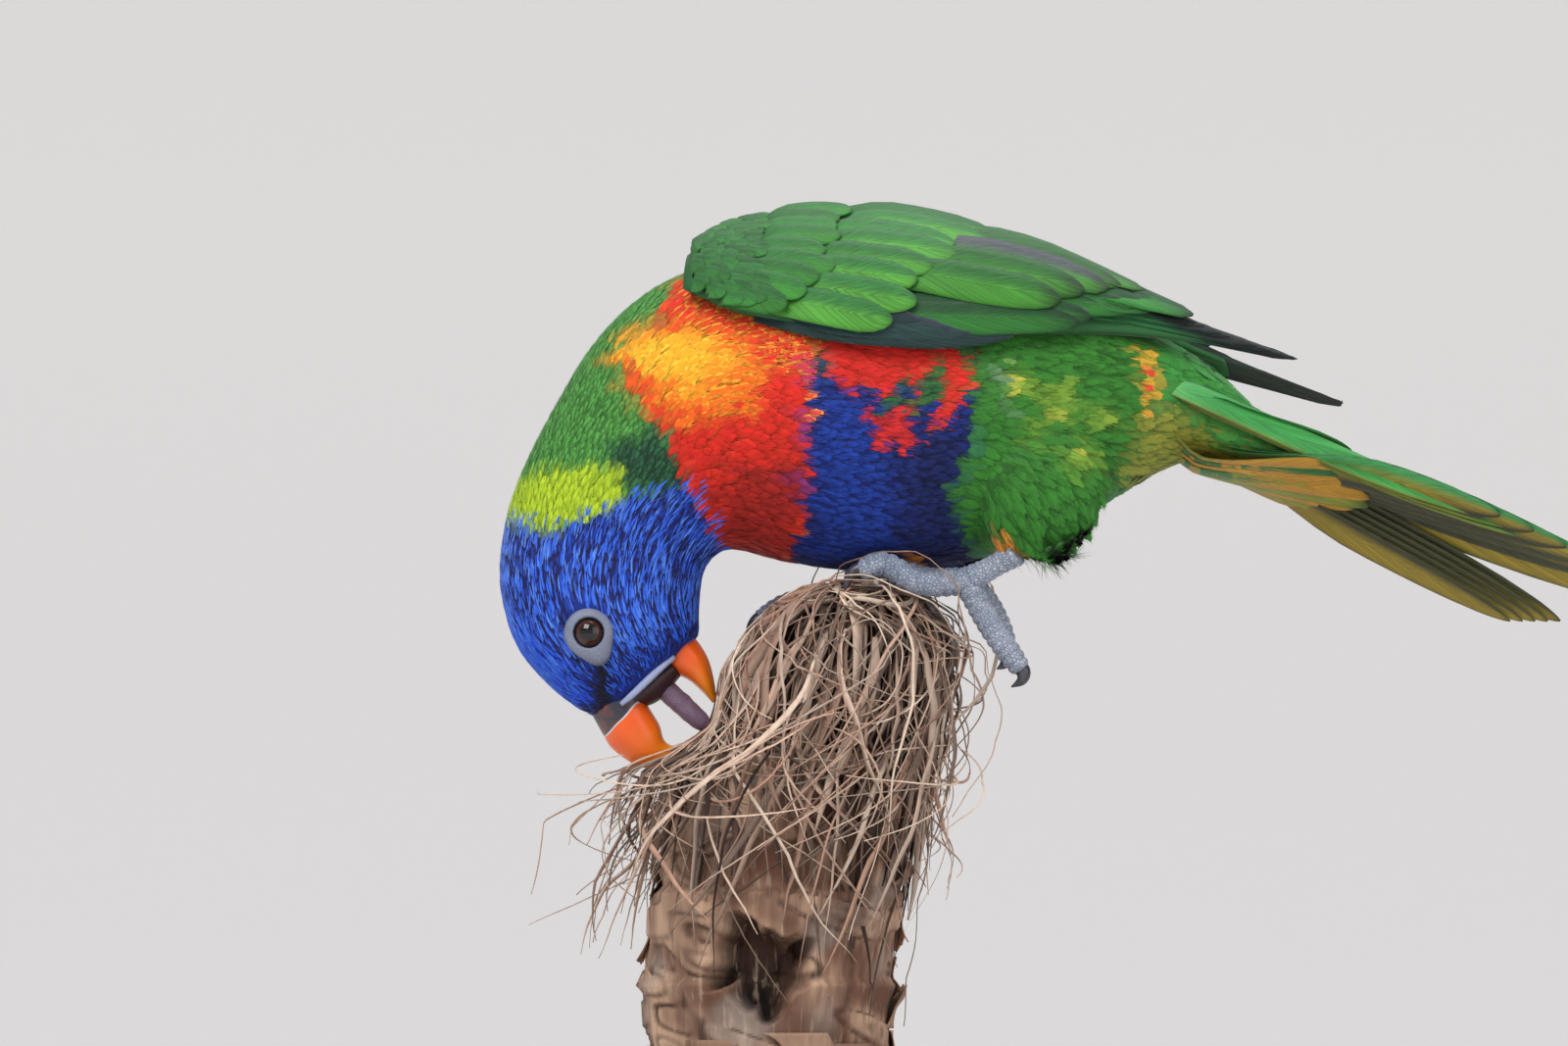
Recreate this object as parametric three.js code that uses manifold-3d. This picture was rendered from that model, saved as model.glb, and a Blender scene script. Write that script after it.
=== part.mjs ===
// A rainbow lorikeet bending down from the top of a cut palm stem, life size, on a display stand.
// Millimetres, +Z up. The head points to -X, the tail to +X, and the bird's left side faces -Y.
// The origin is the centre of the stand's underside.
import * as THREE from "three";
import { mergeVertices } from "three/addons/utils/BufferGeometryUtils.js";
import Module from "manifold-3d";

const wasm = await Module();
wasm.setup();

// Driving dimensions
const gap = 0.3; // between touching pieces
const standRadius = 80;
const standThickness = 12;
const standEdge = 2;
const rodRadius = 5;
const stemFoot = 32; // height of the stem's cut lower end
const stemTop = 99; // where the frayed fibre crown begins
const crownTop = 141.3;
const eyeRadius = 3.75;
const eyeDepth = 1.9; // the eye's centre under the cheek's surface
const tailLength = 114; // from the rump's end to the tip of the middle feathers
const tailSlope = 21; // degrees below level
const tailRoll = 45; // degrees that the tail's left edge is turned up
const vaneThickness = 0.6;

const colours = {
  blue: 0x1f4fc4,
  green: 0x2f8a3c,
  nape: 0x3c8f48,
  bill: 0xe8741f,
  tongue: 0x6d5a6c,
  eye: 0x2a1512,
  foot: 0x8c98a8,
  claw: 0x35353d,
  tail: 0x38a064,
  stem: 0x9a7358,
  fibre: 0xa58a76,
  board: 0x5b4130,
  steel: 0xa8a8a8,
};

// Outline of head, neck and body in the bird's mid-plane, from the rump to the face: a point on the
// back, a point on the belly, both [x, z], and the half width between them.
const stations = [
  { back: [105, 193], belly: [95.5, 170.5], half: 11 },
  { back: [92, 201], belly: [86.5, 166], half: 16 },
  { back: [76, 208], belly: [72.5, 157.5], half: 22 },
  { back: [55.5, 215], belly: [53.5, 149], half: 26.5 },
  { back: [35, 219], belly: [33, 144], half: 29 },
  { back: [15, 221], belly: [15, 145], half: 29.5 },
  { back: [-2.5, 220.5], belly: [3, 147], half: 28.5 },
  { back: [-17, 217.5], belly: [-4, 149], half: 26.5 },
  { back: [-29.5, 211.5], belly: [-8, 149.5], half: 24 },
  { back: [-41, 200.5], belly: [-10.5, 149.5], half: 21.5 },
  { back: [-50.5, 185.5], belly: [-12.5, 147.5], half: 19.5 },
  { back: [-58, 170.5], belly: [-14.5, 144.5], half: 18 },
  { back: [-62.5, 155.5], belly: [-15, 141.5], half: 17 },
  { back: [-63, 141.5], belly: [-15.5, 138], half: 16.5 },
  { back: [-59, 128], belly: [-15.5, 134.5], half: 15.5 },
  { back: [-50.5, 118], belly: [-15.5, 132], half: 13 },
  { back: [-42.5, 112], belly: [-16.5, 130], half: 9.5 },
  { back: [-39, 111], belly: [-19, 127.5], half: 7 },
];
const lastStation = stations.length - 1;
const neckStart = 8;
const headStart = 12;

const v3 = (x, y, z) => new THREE.Vector3(x, y, z);
const curveOf = (points) => new THREE.CatmullRomCurve3(points, false, "catmullrom", 0.5);
const backCurve = curveOf(stations.map((s) => v3(s.back[0], 0, s.back[1])));
const bellyCurve = curveOf(stations.map((s) => v3(s.belly[0], 0, s.belly[1])));
const halfCurve = curveOf(stations.map((s) => v3(s.half, 0, 0)));

// A repeatable stream of numbers from 0 to 1
function randomStream(seed) {
  let state = seed;
  return () => {
    state = (state * 16807) % 2147483647;
    return state / 2147483647;
  };
}

// Solids

function solidOf(geometry) {
  const bare = geometry.clone();
  bare.deleteAttribute("normal");
  bare.deleteAttribute("uv");
  const merged = mergeVertices(bare, 1e-4);
  const build = (flip) => {
    const triVerts = new Uint32Array(merged.index.array);
    if (flip) triVerts.reverse();
    const vertProperties = new Float32Array(merged.attributes.position.array);
    return new wasm.Manifold(new wasm.Mesh({ numProp: 3, vertProperties, triVerts }));
  };
  const solid = build(false);
  return solid.volume() < 0 ? build(true) : solid;
}

const joined = (solids) => solids.reduce((all, one) => all.add(one));

// The largest closed surface of a solid
function largestOf(solid) {
  return solid.decompose().reduce((best, one) => (one.volume() > best.volume() ? one : best));
}

function meshOf(name, solid, colour, roughness = 0.7, metalness = 0) {
  const made = largestOf(solid).getMesh();
  const positions = new Float32Array(made.numVert * 3);
  for (let i = 0; i < made.numVert; i++) {
    positions.set(made.vertProperties.subarray(i * made.numProp, i * made.numProp + 3), i * 3);
  }
  const geometry = new THREE.BufferGeometry();
  geometry.setAttribute("position", new THREE.BufferAttribute(positions, 3));
  geometry.setIndex(new THREE.BufferAttribute(made.triVerts, 1));
  geometry.computeVertexNormals();
  const material = new THREE.MeshStandardMaterial({ color: colour, roughness, metalness });
  const mesh = new THREE.Mesh(geometry, material);
  mesh.name = name;
  return mesh;
}

// A closed skin over rings of points, with a fan over each end
function loft(rings) {
  const sides = rings[0].length;
  const points = rings.flat();
  const index = [];
  for (let r = 0; r + 1 < rings.length; r++) {
    for (let k = 0; k < sides; k++) {
      const a = r * sides + k;
      const b = r * sides + ((k + 1) % sides);
      index.push(a, b, b + sides, a, b + sides, a + sides);
    }
  }
  [0, rings.length - 1].forEach((r) => {
    const centre = rings[r].reduce((sum, p) => sum.add(p), v3(0, 0, 0)).divideScalar(sides);
    const hub = points.push(centre) - 1;
    for (let k = 0; k < sides; k++) {
      const a = r * sides + k;
      const b = r * sides + ((k + 1) % sides);
      if (r === 0) index.push(hub, b, a);
      else index.push(hub, a, b);
    }
  });
  const geometry = new THREE.BufferGeometry().setFromPoints(points);
  geometry.setIndex(index);
  return solidOf(geometry);
}

// An oval rod along a path, with [half height, half width] at each path point. across is the rough
// direction of its width.
function sweep(path, sizes, across, { sides = 10, steps = path.length * 2, grow = 0 } = {}) {
  const line = curveOf(path);
  const size = curveOf(sizes.map((s) => v3(s[0], s[1], 0)));
  const rings = [];
  for (let i = 0; i <= steps; i++) {
    const centre = line.getPoint(i / steps);
    const along = line.getTangent(i / steps);
    const up = v3().crossVectors(along, across).normalize();
    const side = v3().crossVectors(up, along).normalize();
    const s = size.getPoint(i / steps);
    const ring = [];
    for (let k = 0; k < sides; k++) {
      const angle = (k / sides) * 2 * Math.PI;
      ring.push(
        centre
          .clone()
          .addScaledVector(up, (Math.max(s.x, 0.15) + grow) * Math.cos(angle))
          .addScaledVector(side, (Math.max(s.y, 0.15) + grow) * Math.sin(angle)),
      );
    }
    rings.push(ring);
  }
  if (grow > 0) {
    rings[0].forEach((p) => p.addScaledVector(line.getTangent(0), -grow));
    rings[steps].forEach((p) => p.addScaledVector(line.getTangent(1), grow));
  }
  return loft(rings);
}

function ball(centre, radius, scale = [1, 1, 1], fineness = 20) {
  const shape = new THREE.SphereGeometry(radius, fineness, Math.round(fineness * 0.6));
  shape.scale(...scale);
  shape.translate(centre.x, centre.y, centre.z);
  return solidOf(shape);
}

// A thin closed plate over rows of { point, up, thick }, with both faces split into triangles alike
function plate(rows) {
  const columns = rows[0].length;
  const flat = rows.flat();
  const faceOf = (side) => flat.map((p) => p.point.clone().addScaledVector(p.up, (side * p.thick) / 2));
  const points = [...faceOf(1), ...faceOf(-1)];
  const under = flat.length;
  const index = [];
  for (let r = 0; r + 1 < rows.length; r++) {
    for (let c = 0; c + 1 < columns; c++) {
      const a = r * columns + c;
      const quad = [a, a + 1, a + columns + 1, a, a + columns + 1, a + columns];
      index.push(...quad, ...quad.map((i) => i + under).reverse());
    }
  }
  const rim = [];
  for (let c = 0; c < columns; c++) rim.push(c);
  for (let r = 1; r < rows.length; r++) rim.push(r * columns + columns - 1);
  for (let c = columns - 2; c >= 0; c--) rim.push((rows.length - 1) * columns + c);
  for (let r = rows.length - 2; r > 0; r--) rim.push(r * columns);
  rim.forEach((a, i) => {
    const b = rim[(i + 1) % rim.length];
    index.push(b, a, a + under, b, a + under, b + under);
  });
  const geometry = new THREE.BufferGeometry().setFromPoints(points);
  geometry.setIndex(index);
  return solidOf(geometry);
}

// Outlines of feathers, as [share of the length, share of the half width]
const featherShapes = {
  round: [[0, 0.5], [0.5, 1], [0.83, 0.92], [0.95, 0.6], [1, 0.22]],
  short: [[0, 0.6], [0.45, 1], [0.8, 0.9], [1, 0.3]],
  long: [[0, 0.6], [0.4, 1], [0.75, 0.88], [0.93, 0.48], [1, 0.14]],
  strand: [[0, 0.8], [0.25, 1], [0.5, 0.9], [0.8, 0.6], [1, 0.2]],
};

// A feather along a spine, which placeAt(share) gives as { point, normal }. tilt lifts the edge that
// lies to the right of the way to its tip.
function vane(placeAt, halfWidth, shape, { tilt = 0, thickness = vaneThickness } = {}) {
  const step = 0.02;
  const rows = featherShapes[shape].map(([share, width]) => {
    const { point, normal } = placeAt(share);
    const ahead = placeAt(Math.min(share + step, 1)).point;
    const along = ahead.sub(placeAt(Math.max(share - step, 0)).point).normalize();
    const side = v3().crossVectors(along, normal).normalize().applyAxisAngle(along, tilt);
    const up = v3().crossVectors(side, along).normalize();
    const thick = thickness * (share === 1 ? 0.6 : 1);
    return [-1, 1].map((edge) => ({
      point: point.clone().addScaledVector(side, edge * halfWidth * width),
      up,
      thick,
    }));
  });
  return plate(rows);
}

const mix = (a, b, share) => a + (b - a) * share;
const radians = THREE.MathUtils.degToRad;

// Head, neck and body

function sectionAt(station) {
  const t = station / lastStation;
  const back = backCurve.getPoint(t);
  const belly = bellyCurve.getPoint(t);
  const half = halfCurve.getPoint(t).x;
  const centre = back.clone().add(belly).multiplyScalar(0.5);
  const up = back.clone().sub(belly).multiplyScalar(0.5);
  const ahead = v3().crossVectors(up, v3(0, 1, 0)).normalize();
  return { centre, up, half, ahead };
}

function bodyRing(station, { grow = 0, shift = 0, sides = 26 } = {}) {
  const { centre, up, half, ahead } = sectionAt(station);
  const depth = up.length();
  const ring = [];
  for (let k = 0; k < sides; k++) {
    const angle = (k / sides) * 2 * Math.PI;
    ring.push(
      centre
        .clone()
        .addScaledVector(up, ((depth + grow) / depth) * Math.cos(angle))
        .addScaledVector(v3(0, 1, 0), (half + grow) * Math.sin(angle))
        .addScaledVector(ahead, shift),
    );
  }
  return ring;
}

function bodyLength(from, to, { grow = 0, startShift = 0, sides = 26 } = {}) {
  const rings = [bodyRing(from, { grow, shift: startShift, sides })];
  for (let s = from + 0.5; s <= to; s += 0.5) rings.push(bodyRing(s, { grow, sides }));
  return loft(rings);
}

// How far the body's side stands out from the mid-plane at a point (x, z) in it, 0 outside
function sideAt(x, z) {
  let best = 0;
  for (let s = 0; s < lastStation; s += 0.05) {
    const { centre, up, half, ahead } = sectionAt(s);
    const from = v3(x, 0, z).sub(centre);
    if (Math.abs(from.dot(ahead)) > 0.6) continue;
    const share = from.dot(up) / up.lengthSq();
    if (Math.abs(share) < 1) best = Math.max(best, half * Math.sqrt(1 - share * share));
  }
  return best;
}

// Bill and tongue, as paths in the mid-plane with [half height, half width] along them
const billForms = {
  bill_upper: {
    path: [[-36.5, 115.2], [-34, 112.5], [-30.5, 107], [-26, 103.8], [-21.5, 102.8], [-17.8, 103.8]],
    sizes: [[6, 6], [6.4, 6.5], [5.6, 6], [4, 4.6], [2.2, 2.8], [0.6, 0.7]],
    colour: colours.bill,
  },
  bill_lower: {
    path: [[-23.2, 128.4], [-20.5, 126.9], [-17, 123.8], [-14.3, 119.8], [-12.8, 115.6]],
    sizes: [[4.4, 5], [4.9, 5.5], [4.4, 5], [3.1, 3.9], [0.8, 1.6]],
    colour: colours.bill,
  },
  tongue: {
    path: [[-26.6, 120.9], [-24.6, 119], [-20.2, 115], [-16, 111.2], [-14, 109.8]],
    sizes: [[2.2, 2.6], [2.5, 3], [2.5, 3], [2.2, 2.6], [1.2, 1.5]],
    colour: colours.tongue,
  },
};

function billSolid({ path, sizes }, grow = 0) {
  const points = path.map(([x, z]) => v3(x, 0, z));
  return sweep(points, sizes, v3(0, 1, 0), { sides: 12, steps: 8, grow });
}

const eyePlace = { x: -41.5, z: 131 };
const eyeCentre = (side) =>
  v3(eyePlace.x, side * (sideAt(eyePlace.x, eyePlace.z) - eyeDepth), eyePlace.z);

function eyeRing(side) {
  const ring = new THREE.TorusGeometry(eyeRadius + 1.1, 1.15, 5, 16);
  ring.rotateX(Math.PI / 2);
  const centre = eyeCentre(side);
  ring.translate(centre.x, centre.y + side * (eyeDepth - 0.3), centre.z);
  return solidOf(ring);
}

function headSolid() {
  const cere = ball(v3(-38.6, 0, 111.6), 4.2, [1, 1.25, 0.85], 12);
  const nostril = (side) => ball(v3(-40.6, side * 3.4, 109.4), 0.9, [1, 1, 1], 8);
  const socket = (side) => ball(eyeCentre(side), eyeRadius + gap, [1, 1, 1], 14);
  return bodyLength(headStart, lastStation, { startShift: gap })
    .add(cere)
    .add(eyeRing(-1))
    .add(eyeRing(1))
    .subtract(socket(-1))
    .subtract(socket(1))
    .subtract(nostril(-1))
    .subtract(nostril(1))
    .subtract(joined(Object.values(billForms).map((form) => billSolid(form, gap))));
}

// Legs. Each toe is a path from the hub of its foot, and its last point is the tip of the claw.
const feet = {
  left: {
    side: -1,
    hub: v3(45.5, -15, 142.8),
    shank: v3(57, -21, 149),
    thigh: {
      path: [v3(65, -14, 184), v3(62, -20.5, 165), v3(57, -21.5, 150.5)],
      sizes: [[12, 9], [16, 10.5], [9, 7]],
    },
    toes: [
      [v3(35, -16.5, 142.3), v3(26.5, -17, 146.6), v3(21.5, -17, 145.4), v3(17.4, -17, 140.5)],
      [v3(36, -9.5, 143.6), v3(28, -7.5, 146.8), v3(23.5, -6.5, 145.6), v3(19.4, -6, 140.6)],
      [v3(50.6, -16, 133), v3(55, -16.5, 126.5), v3(57.5, -16.5, 123), v3(55.6, -16.5, 118.4)],
      [v3(50.6, -8.5, 137.5), v3(53.6, -5.5, 131.5), v3(54.6, -4.5, 127.6), v3(52.6, -4.5, 123)],
    ],
  },
  right: {
    side: 1,
    hub: v3(24.5, 15.5, 139),
    shank: v3(33, 19.5, 147),
    thigh: {
      path: [v3(50, 13.5, 178), v3(44, 19.5, 161), v3(35, 20.5, 147.5)],
      sizes: [[11, 9], [14, 10], [8, 7]],
    },
    toes: [
      [v3(13.5, 17.5, 138), v3(3, 18, 136), v3(-3.5, 18, 132), v3(-6.6, 18, 126.8)],
      [v3(14.5, 11, 139.8), v3(5, 9, 138.8), v3(-1.5, 8, 135.4), v3(-4.8, 7.6, 130)],
      [v3(30.5, 21.5, 133.5), v3(33, 24.5, 126.5), v3(33.6, 25.5, 122.5), v3(31.6, 25.8, 117.8)],
      [v3(33.5, 13.5, 138.6), v3(39.5, 13, 133.6), v3(42, 12.8, 128.4), v3(40.6, 12.6, 123.4)],
    ],
  },
};
const toeHalf = 2.9;
const clawHalf = 1.25;

function toeSolid(foot, toe, grow = 0) {
  const sizes = [1.07, 1, 0.95, 0.8].map((share) => [toeHalf * share, toeHalf * share]);
  return sweep([foot.hub, ...toe.slice(0, 3)], sizes, v3(0, 1, 0), { sides: 8, steps: 5, grow });
}

function clawSolid(toe, grow = 0) {
  const [, before, root, tip] = toe;
  const out = root.clone().sub(before).normalize();
  const start = root.clone().addScaledVector(out, gap);
  const neck = start.clone().addScaledVector(out, 1.2);
  const bow = start.clone().addScaledVector(out, 2.6).lerp(tip, 0.35);
  const sizes = [1.3, 1.25, 0.95, 0.28].map((share) => [clawHalf * share, clawHalf * share * 0.85]);
  return sweep([start, neck, bow, tip], sizes, v3(0, 1, 0), { sides: 6, steps: 4, grow });
}

function footSolid(foot, grow = 0) {
  const shankSizes = [[2.9, 2.9], [2.6, 2.7], [3.2, 3.2]];
  const middle = foot.shank.clone().lerp(foot.hub, 0.5);
  const shank = sweep([foot.shank, middle, foot.hub], shankSizes, v3(0, 1, 0), { sides: 8, steps: 3, grow });
  const toes = foot.toes.map((toe) => toeSolid(foot, toe, grow));
  const pad = ball(foot.hub, 3.7 + grow, [1, 1, 0.95], 8);
  return joined([shank, pad, ...toes]);
}

const footAndClaws = (foot, grow) =>
  joined([footSolid(foot, grow), ...foot.toes.map((toe) => clawSolid(toe, grow))]);

// A feathered thigh with a fringe of locks round its lower end
function thighSolid(foot) {
  const { path, sizes } = foot.thigh;
  const core = sweep(path, sizes, v3(0, 1, 0), { sides: 12, steps: 4 });
  const end = path[path.length - 1];
  const fall = end.clone().sub(path[path.length - 2]).normalize();
  const count = 5;
  const locks = Array.from({ length: count }, (_, i) => {
    const angle = (i / count) * 2 * Math.PI + 0.4;
    const out = v3(Math.cos(angle), Math.sin(angle) * 0.8, 0);
    const length = 6.5 + 1.8 * Math.sin(i * 2.4);
    const placeAt = (share) => ({
      point: end
        .clone()
        .addScaledVector(out, 5.2 - share * 0.8)
        .addScaledVector(fall, mix(-6, length, share)),
      normal: out,
    });
    return vane(placeAt, 3, "short", { thickness: 0.9 });
  });
  return joined([core, ...locks]);
}

// Wings. Each station of the folded wing has its upper and lower edge in the mid-plane, [x, z], and
// how far those edges stand from it where they are past the body.
const wingStations = [
  { upper: [-19, 218.5], lower: [-20, 210], out: [12, 18], bulge: 1.5 },
  { upper: [-9.5, 225], lower: [-11, 206.5], out: [7, 20], bulge: 3 },
  { upper: [3.5, 228.5], lower: [3.5, 203], out: [4.5, 20], bulge: 4 },
  { upper: [20, 230], lower: [21.5, 200], out: [3.5, 20], bulge: 4.5 },
  { upper: [40, 227.5], lower: [41, 199.5], out: [3, 20], bulge: 4.5 },
  { upper: [60, 221.5], lower: [61.5, 201], out: [3, 20], bulge: 4 },
  { upper: [78.5, 213.5], lower: [81, 201.5], out: [3.5, 18], bulge: 2.8 },
  { upper: [94.5, 207], lower: [96.5, 200.5], out: [5, 14], bulge: 1.6 },
  { upper: [109, 202], lower: [109.5, 198.5], out: [7, 11], bulge: 0.8 },
  { upper: [124, 196.8], lower: [124, 195.4], out: [8.6, 9.4], bulge: 0.2 },
];
const wingLift = 4.5; // of the wing's outer face over the body's side

// How the folded wing's tip is shifted from where the stations put it
const wingPoses = { left: v3(0, 0, 0), right: v3(8, 7, -12) };

// The outer face of a wing as functions of u, from shoulder to tip, and v, from upper to lower edge
function wingSurface(tipShift) {
  const edge = (places) =>
    curveOf(places.map((place, i) => place.addScaledVector(tipShift, (i / (places.length - 1)) ** 2)));
  const upperEdge = edge(
    wingStations.map(({ upper: [x, z], out }) => v3(x, Math.max(out[0], sideAt(x, z)), z)),
  );
  const lowerEdge = edge(
    wingStations.map(({ lower: [x, z], out }) => v3(x, Math.max(out[1], sideAt(x, z) + wingLift), z)),
  );
  const bulges = curveOf(wingStations.map((s) => v3(s.bulge, 0, 0)));
  const face = (u, v) => {
    const upper = upperEdge.getPoint(u);
    const chord = lowerEdge.getPoint(u).sub(upper);
    const out = v3().crossVectors(chord, upperEdge.getTangent(u)).normalize();
    if (out.y < 0) out.negate();
    const bulge = bulges.getPoint(u).x * 4 * v * (1 - v);
    return upper.addScaledVector(chord, v).addScaledVector(out, bulge);
  };
  const normal = (u, v) => {
    const step = 0.01;
    const along = face(Math.min(u + step, 1), v).sub(face(Math.max(u - step, 0), v));
    const down = face(u, Math.min(v + step, 1)).sub(face(u, Math.max(v - step, 0)));
    const out = v3().crossVectors(along, down).normalize();
    return out.y + out.z < 0 ? out.negate() : out;
  };
  const point = (u, v, lift) => face(u, v).addScaledVector(normal(u, v), lift);
  return { normal, point };
}

// Tiers of a wing's feathers. root and tip are [u, v] of the lowest and the highest feather, half is
// their half width and lift how far they lie off the wing's outer face.
const wingTiers = {
  primaries: {
    count: 5,
    root: [[0.4, 0.93], [0.46, 0.6]],
    tip: [[1, 0.6], [0.77, 0.42]],
    half: [3.6, 4.2],
    lift: [-4.4, -1.4],
    shape: "long",
  },
  secondaries: {
    count: 4,
    root: [[0.27, 0.86], [0.33, 0.5]],
    tip: [[0.6, 0.97], [0.79, 0.42]],
    half: [4.2, 5],
    lift: [-0.9, -0.1],
    shape: "round",
  },
  tertials: {
    count: 3,
    root: [[0.28, 0.5], [0.34, 0.16]],
    tip: [[0.565, 0.78], [0.7, 0.27]],
    half: [5.8, 6.4],
    lift: [0.8, 1.2],
    shape: "round",
  },
  primaryCoverts: {
    count: 2,
    root: [[0.17, 0.92], [0.18, 0.8]],
    tip: [[0.5, 1.02], [0.42, 0.9]],
    half: [3, 3.4],
    lift: [-1.6, -1],
    shape: "long",
  },
  greaterCoverts: {
    count: 4,
    root: [[0.16, 0.84], [0.22, 0.16]],
    tip: [[0.36, 0.9], [0.45, 0.2]],
    half: [5.2, 6],
    lift: [0, 0.5],
    shape: "round",
  },
  medianCoverts: {
    count: 4,
    root: [[0.07, 0.84], [0.1, 0.16]],
    tip: [[0.25, 0.89], [0.32, 0.18]],
    half: [5.1, 5.7],
    lift: [1, 1.3],
    shape: "short",
  },
};
const wingSink = 4.2; // of a feather's root under the wing's outer face
const wingTilt = 0.15; // radians that lift each feather's lower edge over the next one

// The core's outer face lies under the tiers, and comes up to cover the shoulder
const wingCoreLift = (u) => mix(0, -2.6, THREE.MathUtils.smoothstep(u, 0.06, 0.26));

function wingVane(surface, tier, share) {
  const [u0, v0] = [0, 1].map((k) => mix(tier.root[0][k], tier.root[1][k], share));
  const [u1, v1] = [0, 1].map((k) => mix(tier.tip[0][k], tier.tip[1][k], share));
  const lift = mix(tier.lift[0], tier.lift[1], share);
  const placeAt = (s) => {
    const u = mix(u0, u1, s);
    const v = mix(v0, v1, s);
    const rise = mix(-wingSink, lift, Math.min(1, s * 2));
    return { point: surface.point(u, v, rise), normal: surface.normal(u, v) };
  };
  return vane(placeAt, mix(tier.half[0], tier.half[1], share), tier.shape, { tilt: wingTilt });
}

function wingCore(surface) {
  const rings = [];
  const across = 4;
  const steps = 11;
  const coreEnd = 0.8;
  for (let i = 0; i <= steps; i++) {
    const u = mix(0, coreEnd, i / steps);
    const depth = mix(8, 1.6, i / steps);
    const ring = [];
    for (let k = 0; k <= across; k++) ring.push(surface.point(u, k / across, wingCoreLift(u)));
    for (let k = across; k >= 0; k--) ring.push(surface.point(u, k / across, wingCoreLift(u) - depth));
    rings.push(ring);
  }
  return loft(rings);
}

// A wing on the right side; the left one is its mirror image
function wingSolid(tipShift) {
  const surface = wingSurface(tipShift);
  const vanes = Object.values(wingTiers).flatMap((tier) =>
    Array.from({ length: tier.count }, (_, i) => wingVane(surface, tier, i / (tier.count - 1))),
  );
  return joined([wingCore(surface), ...vanes]);
}

// Tail. Its frame runs from the rump's end and turns its left edge up along the way.
const tailDrop = 3; // of the feathers' axis under the middle of the rump's end
const tailRoot = sectionAt(0).centre.add(v3(0, 0, -tailDrop));
const tailAlong = v3(Math.cos(radians(tailSlope)), 0, -Math.sin(radians(tailSlope)));
const tailUp = v3(-tailAlong.z, 0, tailAlong.x);
const rollLength = 45; // of tail over which the turn builds up

function tailFrame(s) {
  const share = THREE.MathUtils.smoothstep(s, 0, rollLength);
  const roll = radians(tailRoll) * share;
  const left = v3(0, -Math.cos(roll), 0).addScaledVector(tailUp, Math.sin(roll));
  const up = v3(0, Math.sin(roll), 0).addScaledVector(tailUp, Math.cos(roll));
  return { left, up };
}

function tailPoint(s, toLeft, height) {
  const { left, up } = tailFrame(s);
  return tailRoot
    .clone()
    .addScaledVector(tailAlong, s)
    .addScaledVector(left, toLeft)
    .addScaledVector(up, height);
}

// Tail feathers lie in two halves, with the middle pair on top and longest, and the right half spread
// further than the left.
const tailPairs = 6;
const tailLayer = 0.95; // from one feather down to the next
const tailStep = 0.075; // share of the length that each pair is shorter by
const tailSink = 5; // of the feathers' roots in the tail's base

function tailVane(side, i) {
  const spread = side < 0 && i > 0;
  const length = tailLength * ((spread ? 0.85 : 1) - tailStep * i);
  const fan = spread ? 0.14 + 0.014 * i : 0.016 * i;
  const height = 1.2 - tailLayer * (i + (side < 0 ? 0.5 : 0));
  const placeAt = (share) => {
    const s = mix(tailSink, length, share);
    const toLeft = side * (0.8 + i + (s - tailSink) * fan);
    return { point: tailPoint(s, toLeft, height), normal: tailFrame(s).up };
  };
  return vane(placeAt, 6.6 - 0.25 * i, "long");
}

// Coverts over and under the root of the tail
function tailCovert(share, under) {
  const longest = under ? 40 : 42;
  const length = mix(longest, 28, Math.abs(share - 0.5) * 2);
  const placeAt = (part) => {
    const s = mix(4, length, part);
    const outside = mix(9.8, under ? 7.4 : 2.6, Math.min(1, s / 34)) * (1 - 0.5 * Math.abs(share - 0.5));
    const { up } = tailFrame(s);
    const point = tailPoint(s, mix(-7, 7, share), under ? -outside : outside);
    return { point, normal: under ? up.clone().negate() : up };
  };
  return vane(placeAt, 4.6, "round", { tilt: under ? -0.1 : 0.1 });
}

function tailSolid() {
  const rings = [bodyRing(0, { shift: -gap })];
  const steps = 3;
  const coreLength = 34;
  for (let i = 1; i <= steps; i++) {
    const share = i / steps;
    const s = share * coreLength;
    const high = mix(10.5, 2.6, share);
    const wide = mix(11, 8, share);
    const ring = bodyRing(0).map((_, k, all) => {
      const angle = (k / all.length) * 2 * Math.PI;
      return tailPoint(s, -wide * Math.sin(angle), high * Math.cos(angle) + mix(tailDrop, -1.6, share));
    });
    rings.push(ring);
  }
  const vanes = [];
  for (let i = 0; i < tailPairs; i++) vanes.push(tailVane(-1, i), tailVane(1, i));
  const coverts = 3;
  for (let i = 0; i < coverts; i++) {
    const share = i / (coverts - 1);
    vanes.push(tailCovert(share, false), tailCovert(share, true));
  }
  return joined([loft(rings), ...vanes]);
}

// Stand, stem and its frayed crown

function standBase() {
  const profile = [
    [0, 0],
    [standRadius - standEdge, 0],
    [standRadius, standEdge],
    [standRadius, standThickness - standEdge],
    [standRadius - standEdge, standThickness],
    [0, standThickness],
  ];
  const shape = new THREE.LatheGeometry(profile.map(([r, z]) => new THREE.Vector2(r, z)), 40);
  shape.rotateX(Math.PI / 2);
  return solidOf(shape);
}

function standRod() {
  const low = standThickness + gap;
  const high = stemFoot - gap;
  const rod = new THREE.CylinderGeometry(rodRadius, rodRadius, high - low, 16);
  rod.rotateX(Math.PI / 2);
  rod.translate(0, 0, (low + high) / 2);
  return solidOf(rod);
}

const stemRings = [
  { z: stemFoot, x: 0, r: 28.2 },
  { z: 45, x: 0.2, r: 28.6 },
  { z: 50, x: 0.4, r: 29.8 },
  { z: 52, x: 0.5, r: 28.4 },
  { z: 64, x: 1.4, r: 28.9 },
  { z: 71, x: 2.4, r: 30 },
  { z: 73, x: 2.8, r: 28.4 },
  { z: 88, x: 5, r: 28.8 },
  { z: stemTop, x: 6.6, r: 27.6 },
];

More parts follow.
